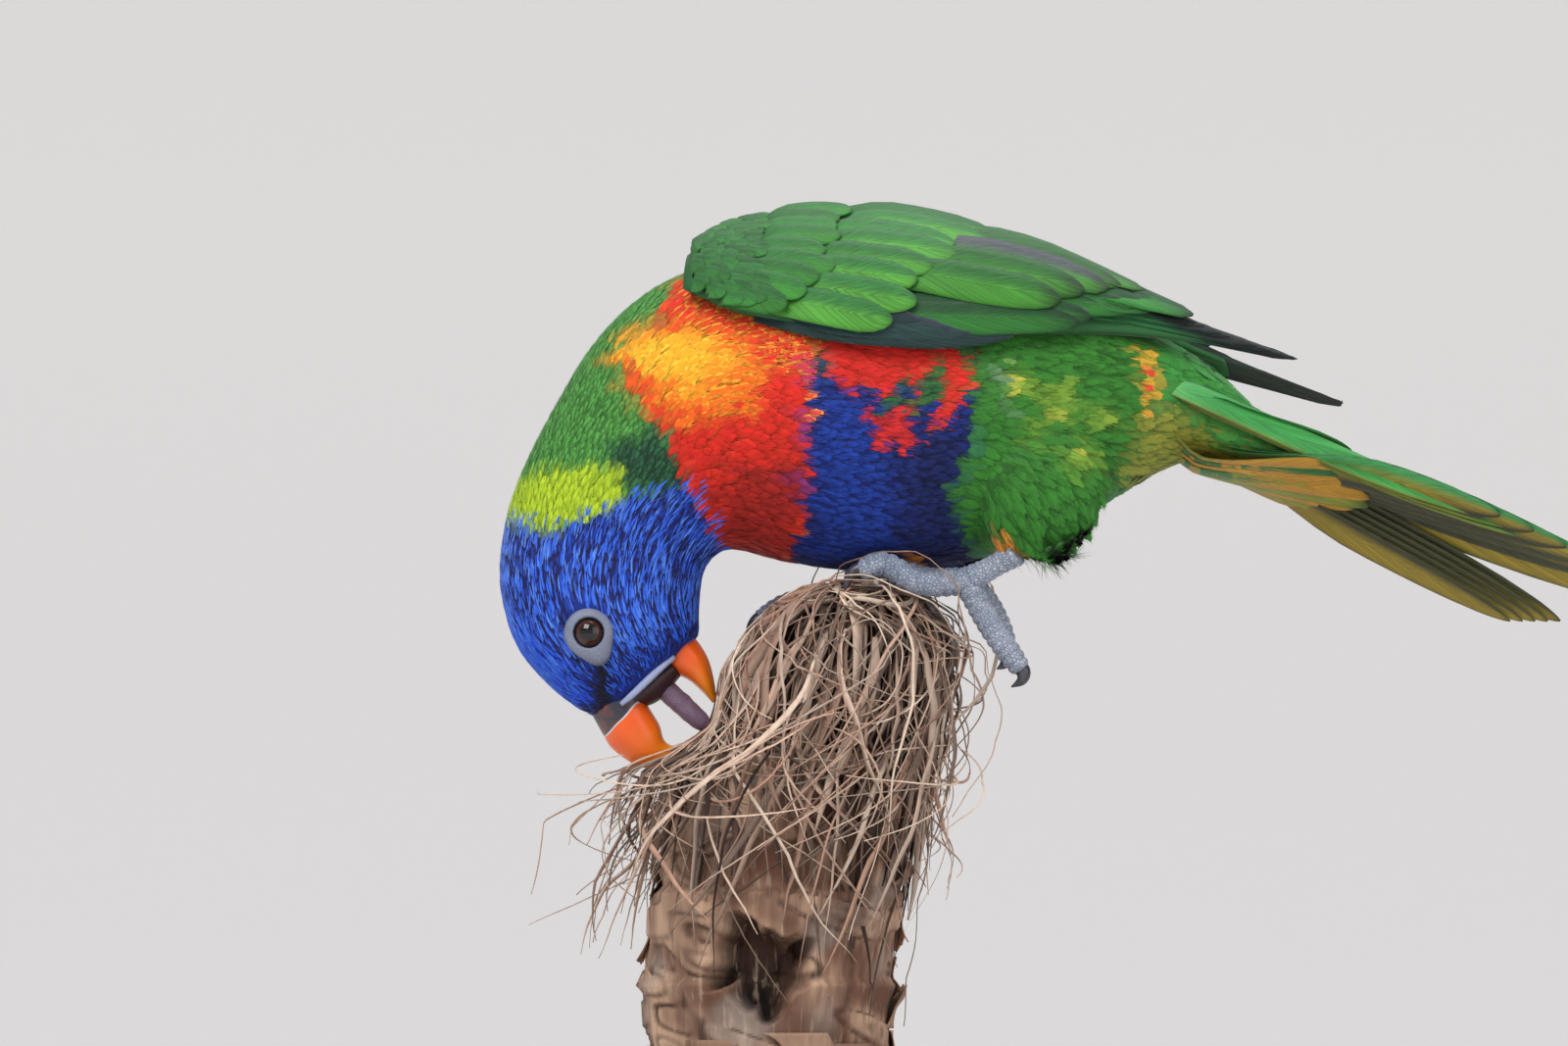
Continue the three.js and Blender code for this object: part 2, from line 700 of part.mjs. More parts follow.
const barkWave = (angle, z) =>
  0.7 * Math.sin(3 * angle + z * 0.05) + 0.45 * Math.sin(7 * angle - z * 0.08) + 0.3 * Math.sin(13 * angle);

function stemSolid(grow = 0) {
  const sides = 22;
  const shape = stemRings.map(({ z, x, r }, i) => {
    const lift = grow * (i === 0 ? -1 : i === stemRings.length - 1 ? 1 : 0);
    return Array.from({ length: sides }, (_, k) => {
      const angle = (k / sides) * 2 * Math.PI;
      const radius = r + barkWave(angle, z) + grow;
      return v3(x + radius * Math.cos(angle), radius * Math.sin(angle), z + lift);
    });
  });
  return loft(shape);
}

const stemHollow = () => ball(v3(3.5, -28.5, 61), 9, [0.85, 0.8, 1.35], 16);

const crownRings = [
  { z: stemTop + gap, x: 6.8, r: 27.2 },
  { z: 107, x: 9, r: 26.8 },
  { z: 114, x: 11.5, r: 26.5 },
  { z: 124, x: 13, r: 26.5 },
  { z: 131, x: 14.5, r: 24 },
  { z: 137, x: 15.5, r: 18.5 },
  { z: 140, x: 17, r: 12 },
  { z: crownTop, x: 18, r: 5 },
];

const crownMiddle = 10.5; // where the strands' ring is centred, and how high they leave it
const strandTop = 123;

// A loose flat strand that leaves the crown's side, swings out and falls
function strand(angle, reach, fall, halfWidth, lean) {
  const out = v3(Math.cos(angle), Math.sin(angle), 0);
  const across = v3(-Math.sin(angle), Math.cos(angle), 0);
  const bend = 0.25; // share of its length where it turns down
  const placeAt = (share) => {
    const onCrown = Math.min(1, share / bend);
    const hanging = Math.max(0, (share - bend) / (1 - bend));
    const point = v3(crownMiddle, 0, mix(strandTop, strandTop - 8, onCrown) - fall * hanging)
      .addScaledVector(out, mix(22, 27.5, onCrown) + reach * hanging ** 1.4)
      .addScaledVector(across, lean * hanging ** 2);
    return { point, normal: out };
  };
  return vane(placeAt, halfWidth, "strand", { thickness: 1 });
}

function crownStrands() {
  const random = randomStream(41);
  const count = 12;
  return Array.from({ length: count }, (_, i) => {
    const angle = (i / count) * 2 * Math.PI + random() * 0.14;
    const towardsHead = Math.max(0, -Math.cos(angle));
    const reach = 2 + random() * 5 + towardsHead * (4 + random() * 12);
    const fall = 30 + random() * 32;
    return strand(angle, reach, fall, 2 + random() * 1.4, (random() - 0.5) * 14);
  });
}

function crownSolid() {
  const sides = 20;
  const core = loft(
    crownRings.map(({ z, x, r }) =>
      Array.from({ length: sides }, (_, k) => {
        const angle = (k / sides) * 2 * Math.PI;
        const radius = r * (1 + 0.03 * Math.sin(5 * angle + z) + 0.03 * Math.sin(11 * angle));
        return v3(x + radius * Math.cos(angle), radius * Math.sin(angle), z);
      }),
    ),
  );
  const bills = Object.values(billForms).map((form) => billSolid(form, gap));
  const clear = [stemSolid(gap), footRoom, bodyLength(headStart, lastStation, { grow: gap }), ...bills];
  return joined([core, ...crownStrands()]).subtract(joined(clear));
}

// The scene graph

const model = new THREE.Group();
const bird = new THREE.Group();
const stand = new THREE.Group();
model.add(bird, stand);

const flesh = bodyLength(0, lastStation, { grow: gap });
const footRoom = joined(Object.values(feet).map((foot) => footAndClaws(foot, gap)));

bird.add(meshOf("head", headSolid(), colours.blue));
bird.add(meshOf("neck", bodyLength(neckStart, headStart, { startShift: gap }), colours.nape));
bird.add(meshOf("torso", bodyLength(0, neckStart).subtract(footRoom), colours.green));

for (const [name, form] of Object.entries(billForms)) {
  bird.add(meshOf(name, billSolid(form), form.colour, 0.4));
}

for (const [name, foot] of Object.entries(feet)) {
  bird.add(meshOf("eye_" + name, ball(eyeCentre(foot.side), eyeRadius, [1, 1, 1], 13), colours.eye, 0.1));
  const thigh = thighSolid(foot).subtract(flesh).subtract(footRoom);
  bird.add(meshOf("thigh_" + name, thigh, colours.green));
  bird.add(meshOf("foot_" + name, footSolid(foot), colours.foot, 0.6));
  foot.toes.forEach((toe, i) => {
    bird.add(meshOf("claw_" + name + "_" + (i + 1), clawSolid(toe), colours.claw, 0.35));
  });
}

for (const [name, tipShift] of Object.entries(wingPoses)) {
  const wing = wingSolid(tipShift).subtract(flesh);
  const placed = name === "left" ? wing.mirror([0, 1, 0]) : wing;
  bird.add(meshOf("wing_" + name, placed, colours.green, 0.55));
}
bird.add(meshOf("tail", tailSolid(), colours.tail, 0.55));

stand.add(meshOf("stand_base", standBase(), colours.board, 0.5));
stand.add(meshOf("stand_rod", standRod(), colours.steel, 0.3, 1));
stand.add(meshOf("perch_stem", stemSolid().subtract(stemHollow()), colours.stem, 0.9));
stand.add(meshOf("perch_crown", crownSolid(), colours.fibre, 0.9));

export default model;
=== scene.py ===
# A rainbow lorikeet bending head down from the frayed top of a cut palm stem, on its display stand.
# Lengths are in millimetres and become metres where a mesh, light or camera is made. s counts the
# body's sections from the rump, 0, to the face, 17, and a goes round a section from the back, 0, by
# the right side. Each piece's settings stand beside its code.
import math

import bpy
import numpy as np
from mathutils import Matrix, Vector
from mathutils.bvhtree import BVHTree
from mathutils.kdtree import KDTree


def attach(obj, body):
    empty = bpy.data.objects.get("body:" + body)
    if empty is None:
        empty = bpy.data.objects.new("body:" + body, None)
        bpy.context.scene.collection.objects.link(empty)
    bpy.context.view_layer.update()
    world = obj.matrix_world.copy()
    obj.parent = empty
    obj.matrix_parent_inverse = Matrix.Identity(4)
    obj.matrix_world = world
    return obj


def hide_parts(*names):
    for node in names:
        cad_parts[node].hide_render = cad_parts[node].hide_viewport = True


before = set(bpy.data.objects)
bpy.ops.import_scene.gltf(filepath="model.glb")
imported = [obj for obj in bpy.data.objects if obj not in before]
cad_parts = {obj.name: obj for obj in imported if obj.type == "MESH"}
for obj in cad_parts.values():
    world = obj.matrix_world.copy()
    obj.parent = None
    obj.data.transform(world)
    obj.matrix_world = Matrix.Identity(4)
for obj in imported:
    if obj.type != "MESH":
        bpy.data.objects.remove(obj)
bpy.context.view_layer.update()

mm = 0.001
scene = bpy.context.scene


# Small helpers for points and colours

def unit(v):
    return v / np.maximum(np.linalg.norm(v, axis=-1, keepdims=True), 1e-9)


def smooth(low, high, x):
    t = np.clip((x - low) / (high - low), 0, 1)
    return t * t * (3 - 2 * t)


def lerp(a, b, t):
    return a + (b - a) * t


def tone(red, green, blue):  # a colour as seen on a screen, 0 to 255, made linear
    c = np.array([red, green, blue]) / 255
    return np.where(c <= 0.04045, c / 12.92, ((c + 0.055) / 1.055) ** 2.4)


def curveAt(points, t):  # a smooth curve through points, at t from 0 to 1
    points = np.asarray(points, float)
    last = len(points) - 1
    padded = np.vstack([2 * points[0] - points[1], points, 2 * points[-1] - points[-2]])
    place = np.clip(t, 0, 1) * last
    i = np.minimum(place.astype(int), last - 1)
    f = (place - i)[..., None]
    p0, p1, p2, p3 = (padded[i + k] for k in range(4))
    out, into = (p2 - p0) * 0.5, (p3 - p1) * 0.5
    return (2 * p1 - 2 * p2 + out + into) * f**3 + (3 * p2 - 3 * p1 - 2 * out - into) * f**2 + out * f + p1


def around(count):  # angles of a full turn
    return np.linspace(0, 2 * math.pi, count, endpoint=False)


def rolled(side, up, angle):  # two directions turned about the third
    return side * np.cos(angle) + up * np.sin(angle), up * np.cos(angle) - side * np.sin(angle)


def wobble(points, size, seed):  # a smooth random value, about -1 to 1, that changes over size
    waves = np.random.default_rng(seed).normal(size=(7, 4))
    return np.sin(points @ waves[:, :3].T * (2.4 / size) + waves[:, 3] * 9).sum(axis=1) / 3.2


# Shader building

class Wire:  # an output socket that takes Python's operators
    def __init__(self, shade, socket):
        self.shade = shade
        self.socket = socket

    def math(self, operation, *values):
        return self.shade.add("Math", {"operation": operation}, dict(enumerate(values)))

    def __add__(self, other):
        return self.math("ADD", self, other)

    def __sub__(self, other):
        return self.math("SUBTRACT", self, other)

    def __mul__(self, other):
        return self.math("MULTIPLY", self, other)

    def __pow__(self, other):
        return self.math("POWER", self, other)


class Shade:  # a material while its nodes are made
    def __init__(self, name):
        self.material = bpy.data.materials.new(name)
        self.material.use_nodes = True
        self.tree = self.material.node_tree
        self.tree.nodes.clear()

    def add(self, kind, settings=None, sockets=None, out=0):
        made = self.tree.nodes.new("ShaderNode" + kind)
        for key, value in (settings or {}).items():
            if key == "stops":
                self.setStops(made.color_ramp, value)
            else:
                setattr(made, key, value)
        for key, value in (sockets or {}).items():
            if isinstance(value, Wire):
                self.tree.links.new(value.socket, made.inputs[key])
            else:
                made.inputs[key].default_value = value
        return Wire(self, made.outputs[out]) if made.outputs else None

    def setStops(self, ramp, stops):
        ramp.elements.remove(ramp.elements[-1])
        for i, (place, colour) in enumerate(stops):
            element = ramp.elements[0] if i == 0 else ramp.elements.new(place)
            element.position = place
            element.color = (*colour, 1) if np.ndim(colour) else (colour, colour, colour, 1)

    def mix(self, share, a, b, blend="MIX"):
        sides = {6: a, 7: b}
        for key, value in sides.items():
            if not isinstance(value, Wire):
                sides[key] = (*value, 1)
        return self.add("Mix", {"data_type": "RGBA", "blend_type": blend}, {0: share, **sides}, 2)

    def ramp(self, value, *stops):
        return self.add("ValToRGB", {"stops": stops}, {0: value})

    def step(self, value, low, high):  # 0 below low and 1 above high, smoothly
        settings = {"interpolation_type": "SMOOTHSTEP"}
        return self.add("MapRange", settings, {0: value, 1: low, 2: high})

    def noise(self, scale, detail=3, stretch=(1, 1, 1), distortion=0, coords=None):
        place = coords or self.add("TexCoord", out="Object")
        place = self.add("Mapping", None, {0: place, 3: stretch})
        sockets = {"Vector": place, "Scale": scale, "Detail": detail, "Distortion": distortion}
        return self.add("TexNoise", None, sockets)

    def layer(self, name, out=0):  # a colour kept at the mesh's points: 0 is the colour, 1 its alpha
        return self.add("VertexColor", {"layer_name": name}, out=out)

    def edges(self, scale):  # the distance to the edge of small cells
        place = self.add("TexCoord", out="Object")
        return self.add("TexVoronoi", {"feature": "DISTANCE_TO_EDGE"}, {"Vector": place, "Scale": scale})

    def xyz(self, *values):
        return self.add("CombineXYZ", None, dict(enumerate(values)))

    def bump(self, height, strength, distance):
        return self.add("Bump", None, {"Height": height, "Strength": strength, "Distance": distance})

    def finish(self, **sockets):
        named = {}
        for key, value in sockets.items():
            name = key.replace("_", " ")
            if name.endswith("Color") and not isinstance(value, Wire):
                value = (*value, 1)
            named[name] = value
        shader = self.add("BsdfPrincipled", None, named)
        self.add("OutputMaterial", None, {0: shader})
        return self.material


def feathers(name, roughness, barbs, streak, relief):
    s = Shade(name)
    core, own = (s.layer("core", k) for k in (0, 1))
    rim, rimFrom = (s.layer("rim", k) for k in (0, 1))
    across, along = (
        s.add("SeparateXYZ", None, {0: s.add("UVMap", {"uv_map": "vane"})}, out=k) for k in (0, 1)
    )
    aside = (across * 2 - 1).math("ABSOLUTE", across * 2 - 1)
    comb = s.noise(1, 2.5, coords=s.xyz(aside * 1.5 + across * 3, (along - aside * 0.2) * barbs, own * 60))
    fade = s.noise(1, 1, coords=s.xyz(across * 2, along * 3, own * 90))
    edge = aside.math("MAXIMUM", aside, along**5)
    mask = s.step(edge + (comb - 0.5) * 0.5 - rimFrom, 0, 0.25)
    shade = (comb - 0.5) * streak + (fade - 0.5) * 0.35 + 1
    colour = s.mix(1.0, s.mix(mask, core, rim), s.xyz(shade, shade, shade), "MULTIPLY")
    shaft = s.step(aside, 0.0, 0.08)
    return s.finish(
        Base_Color=colour,
        Roughness=comb * 0.2 + roughness - 0.1,
        Normal=s.bump(comb - shaft * 0.4, relief, 0.0003),
        Specular_IOR_Level=0.3,
        Sheen_Weight=0.1,
        Sheen_Roughness=0.4,
    )


def bareSkin(name, light, dark, grain=900, roughness=0.5, net=1.0):
    s = Shade(name)
    cells = s.edges(grain)
    patches = s.noise(160, 4)
    colour = s.mix(s.step(cells, 0.0, 0.16) * net + (1 - net), dark, light)
    colour = s.mix(s.step(patches, 0.35, 0.7) * 0.35, colour, dark)
    return s.finish(
        Base_Color=colour,
        Roughness=patches * 0.2 + roughness - 0.1,
        Normal=s.bump(s.step(cells, 0, 0.25) * net + patches * 0.4, 0.7, 0.0003),
        Subsurface_Weight=0.08,
        Subsurface_Scale=0.002,
    )


# Meshes

def addMesh(name, points, faces, material, uv=None, extra=None, colours=None, normals=None, ride=True):
    groups = faces if isinstance(faces, list) else [faces]
    corners = np.concatenate([g.ravel() for g in groups]).astype(np.int32)
    sizes = np.concatenate([np.full(len(g), g.shape[1]) for g in groups])
    mesh = bpy.data.meshes.new(name)
    mesh.vertices.add(len(points))
    mesh.vertices.foreach_set("co", (points * mm).astype(np.float32).ravel())
    mesh.loops.add(len(corners))
    mesh.loops.foreach_set("vertex_index", corners)
    mesh.polygons.add(len(sizes))
    mesh.polygons.foreach_set("loop_start", np.concatenate([[0], np.cumsum(sizes)[:-1]]).astype(np.int32))
    mesh.update(calc_edges=True)
    mesh.shade_smooth()
    for layer, values in {"OFBake": uv, "vane": extra}.items():
        if values is not None:
            made = mesh.uv_layers.new(name=layer)
            made.data.foreach_set("uv", values[corners].astype(np.float32).ravel())
    for layer, values in (colours or {}).items():
        made = mesh.color_attributes.new(layer, "FLOAT_COLOR", "POINT")
        if values.shape[1] == 3:
            values = np.column_stack([values, np.ones(len(values))])
        made.data.foreach_set("color", values.astype(np.float32).ravel())
    if normals is not None:
        mesh.normals_split_custom_set_from_vertices(normals.astype(np.float32))
    mesh.materials.append(material)
    made = bpy.data.objects.new(name, mesh)
    scene.collection.objects.link(made)
    if ride:
        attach(made, "root")
    return made


def tubeFaces(rings, sides, start=0):  # side faces and both end faces of a tube
    r, k = np.meshgrid(np.arange(rings - 1), np.arange(sides), indexing="ij")
    a = start + r * sides + k
    b = start + r * sides + (k + 1) % sides
    quads = np.stack([a, b, b + sides, a + sides], -1).reshape(-1, 4)
    ends = np.arange(sides)
    caps = np.stack([start + ends[::-1], start + (rings - 1) * sides + ends])
    return quads, caps


def sheetFaces(rows, cols):  # the upper side, the under side and the rim of a closed sheet
    r, c = (grid.ravel() for grid in np.meshgrid(np.arange(rows - 1), np.arange(cols - 1), indexing="ij"))
    a = r * cols + c
    size = rows * cols
    top = np.stack([a, a + 1, a + cols + 1, a + cols], -1)
    rim = np.concatenate([
        np.arange(cols), np.arange(1, rows) * cols + cols - 1,
        (rows - 1) * cols + np.arange(cols - 2, -1, -1), np.arange(rows - 2, 0, -1) * cols,
    ])
    ahead = np.roll(rim, -1)
    return np.vstack([top, top[:, ::-1] + size, np.stack([ahead, rim, rim + size, ahead + size], -1)])


def sweepRings(path, sizes, across=(0, 1, 0), sides=16, steps=24):
    t = np.linspace(0, 1, steps + 1)
    centre = curveAt(path, t)
    along = unit(np.gradient(centre, axis=0))
    up = unit(np.cross(along, across))
    side = unit(np.cross(up, along))
    size = np.maximum(curveAt(sizes, t), 0.12)
    angle = around(sides)
    return (
        centre[:, None]
        + up[:, None] * size[:, :1, None] * np.cos(angle)[:, None]
        + side[:, None] * size[:, 1:, None] * np.sin(angle)[:, None]
    )


def joinTubes(tubes):  # points and faces of several tubes with one number of sides
    points, quads, caps, start = [], [], [], 0
    for rings in tubes:
        q, c = tubeFaces(rings.shape[0], rings.shape[1], start)
        points.append(rings.reshape(-1, 3))
        quads.append(q)
        caps.append(c)
        start += rings.shape[0] * rings.shape[1]
    return np.vstack(points), [np.vstack(quads), np.vstack(caps)]


# The body's form, as in the solids

stations = [  # back x and z, belly x and z, half width
    (105, 193, 95.5, 170.5, 11),
    (92, 201, 86.5, 166, 16),
    (76, 208, 72.5, 157.5, 22),
    (55.5, 215, 53.5, 149, 26.5),
    (35, 219, 33, 144, 29),
    (15, 221, 15, 145, 29.5),
    (-2.5, 220.5, 3, 147, 28.5),
    (-17, 217.5, -4, 149, 26.5),
    (-29.5, 211.5, -8, 149.5, 24),
    (-41, 200.5, -10.5, 149.5, 21.5),
    (-50.5, 185.5, -12.5, 147.5, 19.5),
    (-58, 170.5, -14.5, 144.5, 18),
    (-62.5, 155.5, -15, 141.5, 17),
    (-63, 141.5, -15.5, 138, 16.5),
    (-59, 128, -15.5, 134.5, 15.5),
    (-50.5, 118, -15.5, 132, 13),
    (-42.5, 112, -16.5, 130, 9.5),
    (-39, 111, -19, 127.5, 7),
]
lastStation = len(stations) - 1
tail = {
    "drop": 3, "slope": 21, "roll": 45, "rollLength": 45, "length": 114,
    "coreLength": 34, "coreHigh": (10.5, 2.6), "coreWide": (11, 8), "coreRise": -1.6,
}


def sectionAt(s):
    found = curveAt(stations, np.clip(s, 0, None) / lastStation)
    zero = np.zeros(len(found))
    back = np.stack([found[:, 0], zero, found[:, 1]], 1)
    belly = np.stack([found[:, 2], zero, found[:, 3]], 1)
    return (back + belly) / 2, (back - belly) / 2, found[:, 4]


slope = math.radians(tail["slope"])
tailAlong = np.array([math.cos(slope), 0, -math.sin(slope)])
tailUp = np.array([math.sin(slope), 0, math.cos(slope)])
tailRoot = sectionAt(np.zeros(1))[0][0] - (0, 0, tail["drop"])


def tailFrame(distance):
    roll = math.radians(tail["roll"]) * smooth(0, tail["rollLength"], distance)
    cos, sin = np.cos(roll)[..., None], np.sin(roll)[..., None]
    right = np.array([0, 1, 0])
    return -right * cos + tailUp * sin, right * sin + tailUp * cos


def tailPoint(distance, toLeft, height):
    left, up = tailFrame(distance)
    return tailRoot + tailAlong * distance[..., None] + left * toLeft[..., None] + up * height[..., None]


def bodyPoint(s, a, grow=0):  # on the body, or on the tail's core where s is under 0
    centre, up, half = sectionAt(s)
    ahead = ((1 + grow / np.linalg.norm(up, axis=1)) * np.cos(a))[:, None]
    side = np.array([0, 1, 0])
    body = centre + up * ahead + side * ((half + grow) * np.sin(a))[:, None]
    share = np.clip(-s / 2, 0, 1)
    high, wide = lerp(*tail["coreHigh"], share) + grow, lerp(*tail["coreWide"], share) + grow
    rise = lerp(tail["drop"], tail["coreRise"], share)
    onTail = tailPoint(share * tail["coreLength"], -wide * np.sin(a), high * np.cos(a) + rise)
    return lerp(body, onTail, smooth(0, 0.25, share)[:, None])


def sideAt(x, z):  # how far the body's side stands from the mid-plane at (x, z)
    s = np.arange(0, lastStation, 0.05)
    centre, up, half = sectionAt(s)
    ahead = unit(np.cross(up, [0, 1, 0]))
    away = np.array([x, 0, z]) - centre
    share = (away * up).sum(1) / (up * up).sum(1)
    near = (np.abs((away * ahead).sum(1)) <= 0.6) & (np.abs(share) < 1)
    return float((half * np.sqrt(1 - np.where(near, share, 1) ** 2)).max())


legs = {
    "left": {
        "hub": (45.5, -15, 142.8),
        "shank": (57, -21, 149),
        "thigh": [(65, -14, 184), (62, -20.5, 165), (57, -21.5, 150.5)],
        "thighSizes": [(12, 9), (16, 10.5), (9, 7)],
        "toes": [
            [(35, -16.5, 142.3), (26.5, -17, 146.6), (21.5, -17, 145.4), (17.4, -17, 140.5)],
            [(36, -9.5, 143.6), (28, -7.5, 146.8), (23.5, -6.5, 145.6), (19.4, -6, 140.6)],
            [(50.6, -16, 133), (55, -16.5, 126.5), (57.5, -16.5, 123), (55.6, -16.5, 118.4)],
            [(50.6, -8.5, 137.5), (53.6, -5.5, 131.5), (54.6, -4.5, 127.6), (52.6, -4.5, 123)],
        ],
    },
    "right": {
        "hub": (24.5, 15.5, 139),
        "shank": (33, 19.5, 147),
        "thigh": [(50, 13.5, 178), (44, 19.5, 161), (35, 20.5, 147.5)],
        "thighSizes": [(11, 9), (14, 10), (8, 7)],
        "toes": [
            [(13.5, 17.5, 138), (3, 18, 136), (-3.5, 18, 132), (-6.6, 18, 126.8)],
            [(14.5, 11, 139.8), (5, 9, 138.8), (-1.5, 8, 135.4), (-4.8, 7.6, 130)],
            [(30.5, 21.5, 133.5), (33, 24.5, 126.5), (33.6, 25.5, 122.5), (31.6, 25.8, 117.8)],
            [(33.5, 13.5, 138.6), (39.5, 13, 133.6), (42, 12.8, 128.4), (40.6, 12.6, 123.4)],
        ],
    },
}
eyePlace = {"x": -41.5, "z": 131, "radius": 3.75, "depth": 1.9, "bare": 4.7}
eyeOut = sideAt(eyePlace["x"], eyePlace["z"])


# Markings of the coat, drawn on the side view as outlines of (x, z) or spots of (x, z, radius).
# A later patch lies over an earlier one. soft and ragged say how its edge fades and wanders.
# rimFrom is where a plume's rim colour starts, from its shaft, 0, to its edge, 1.

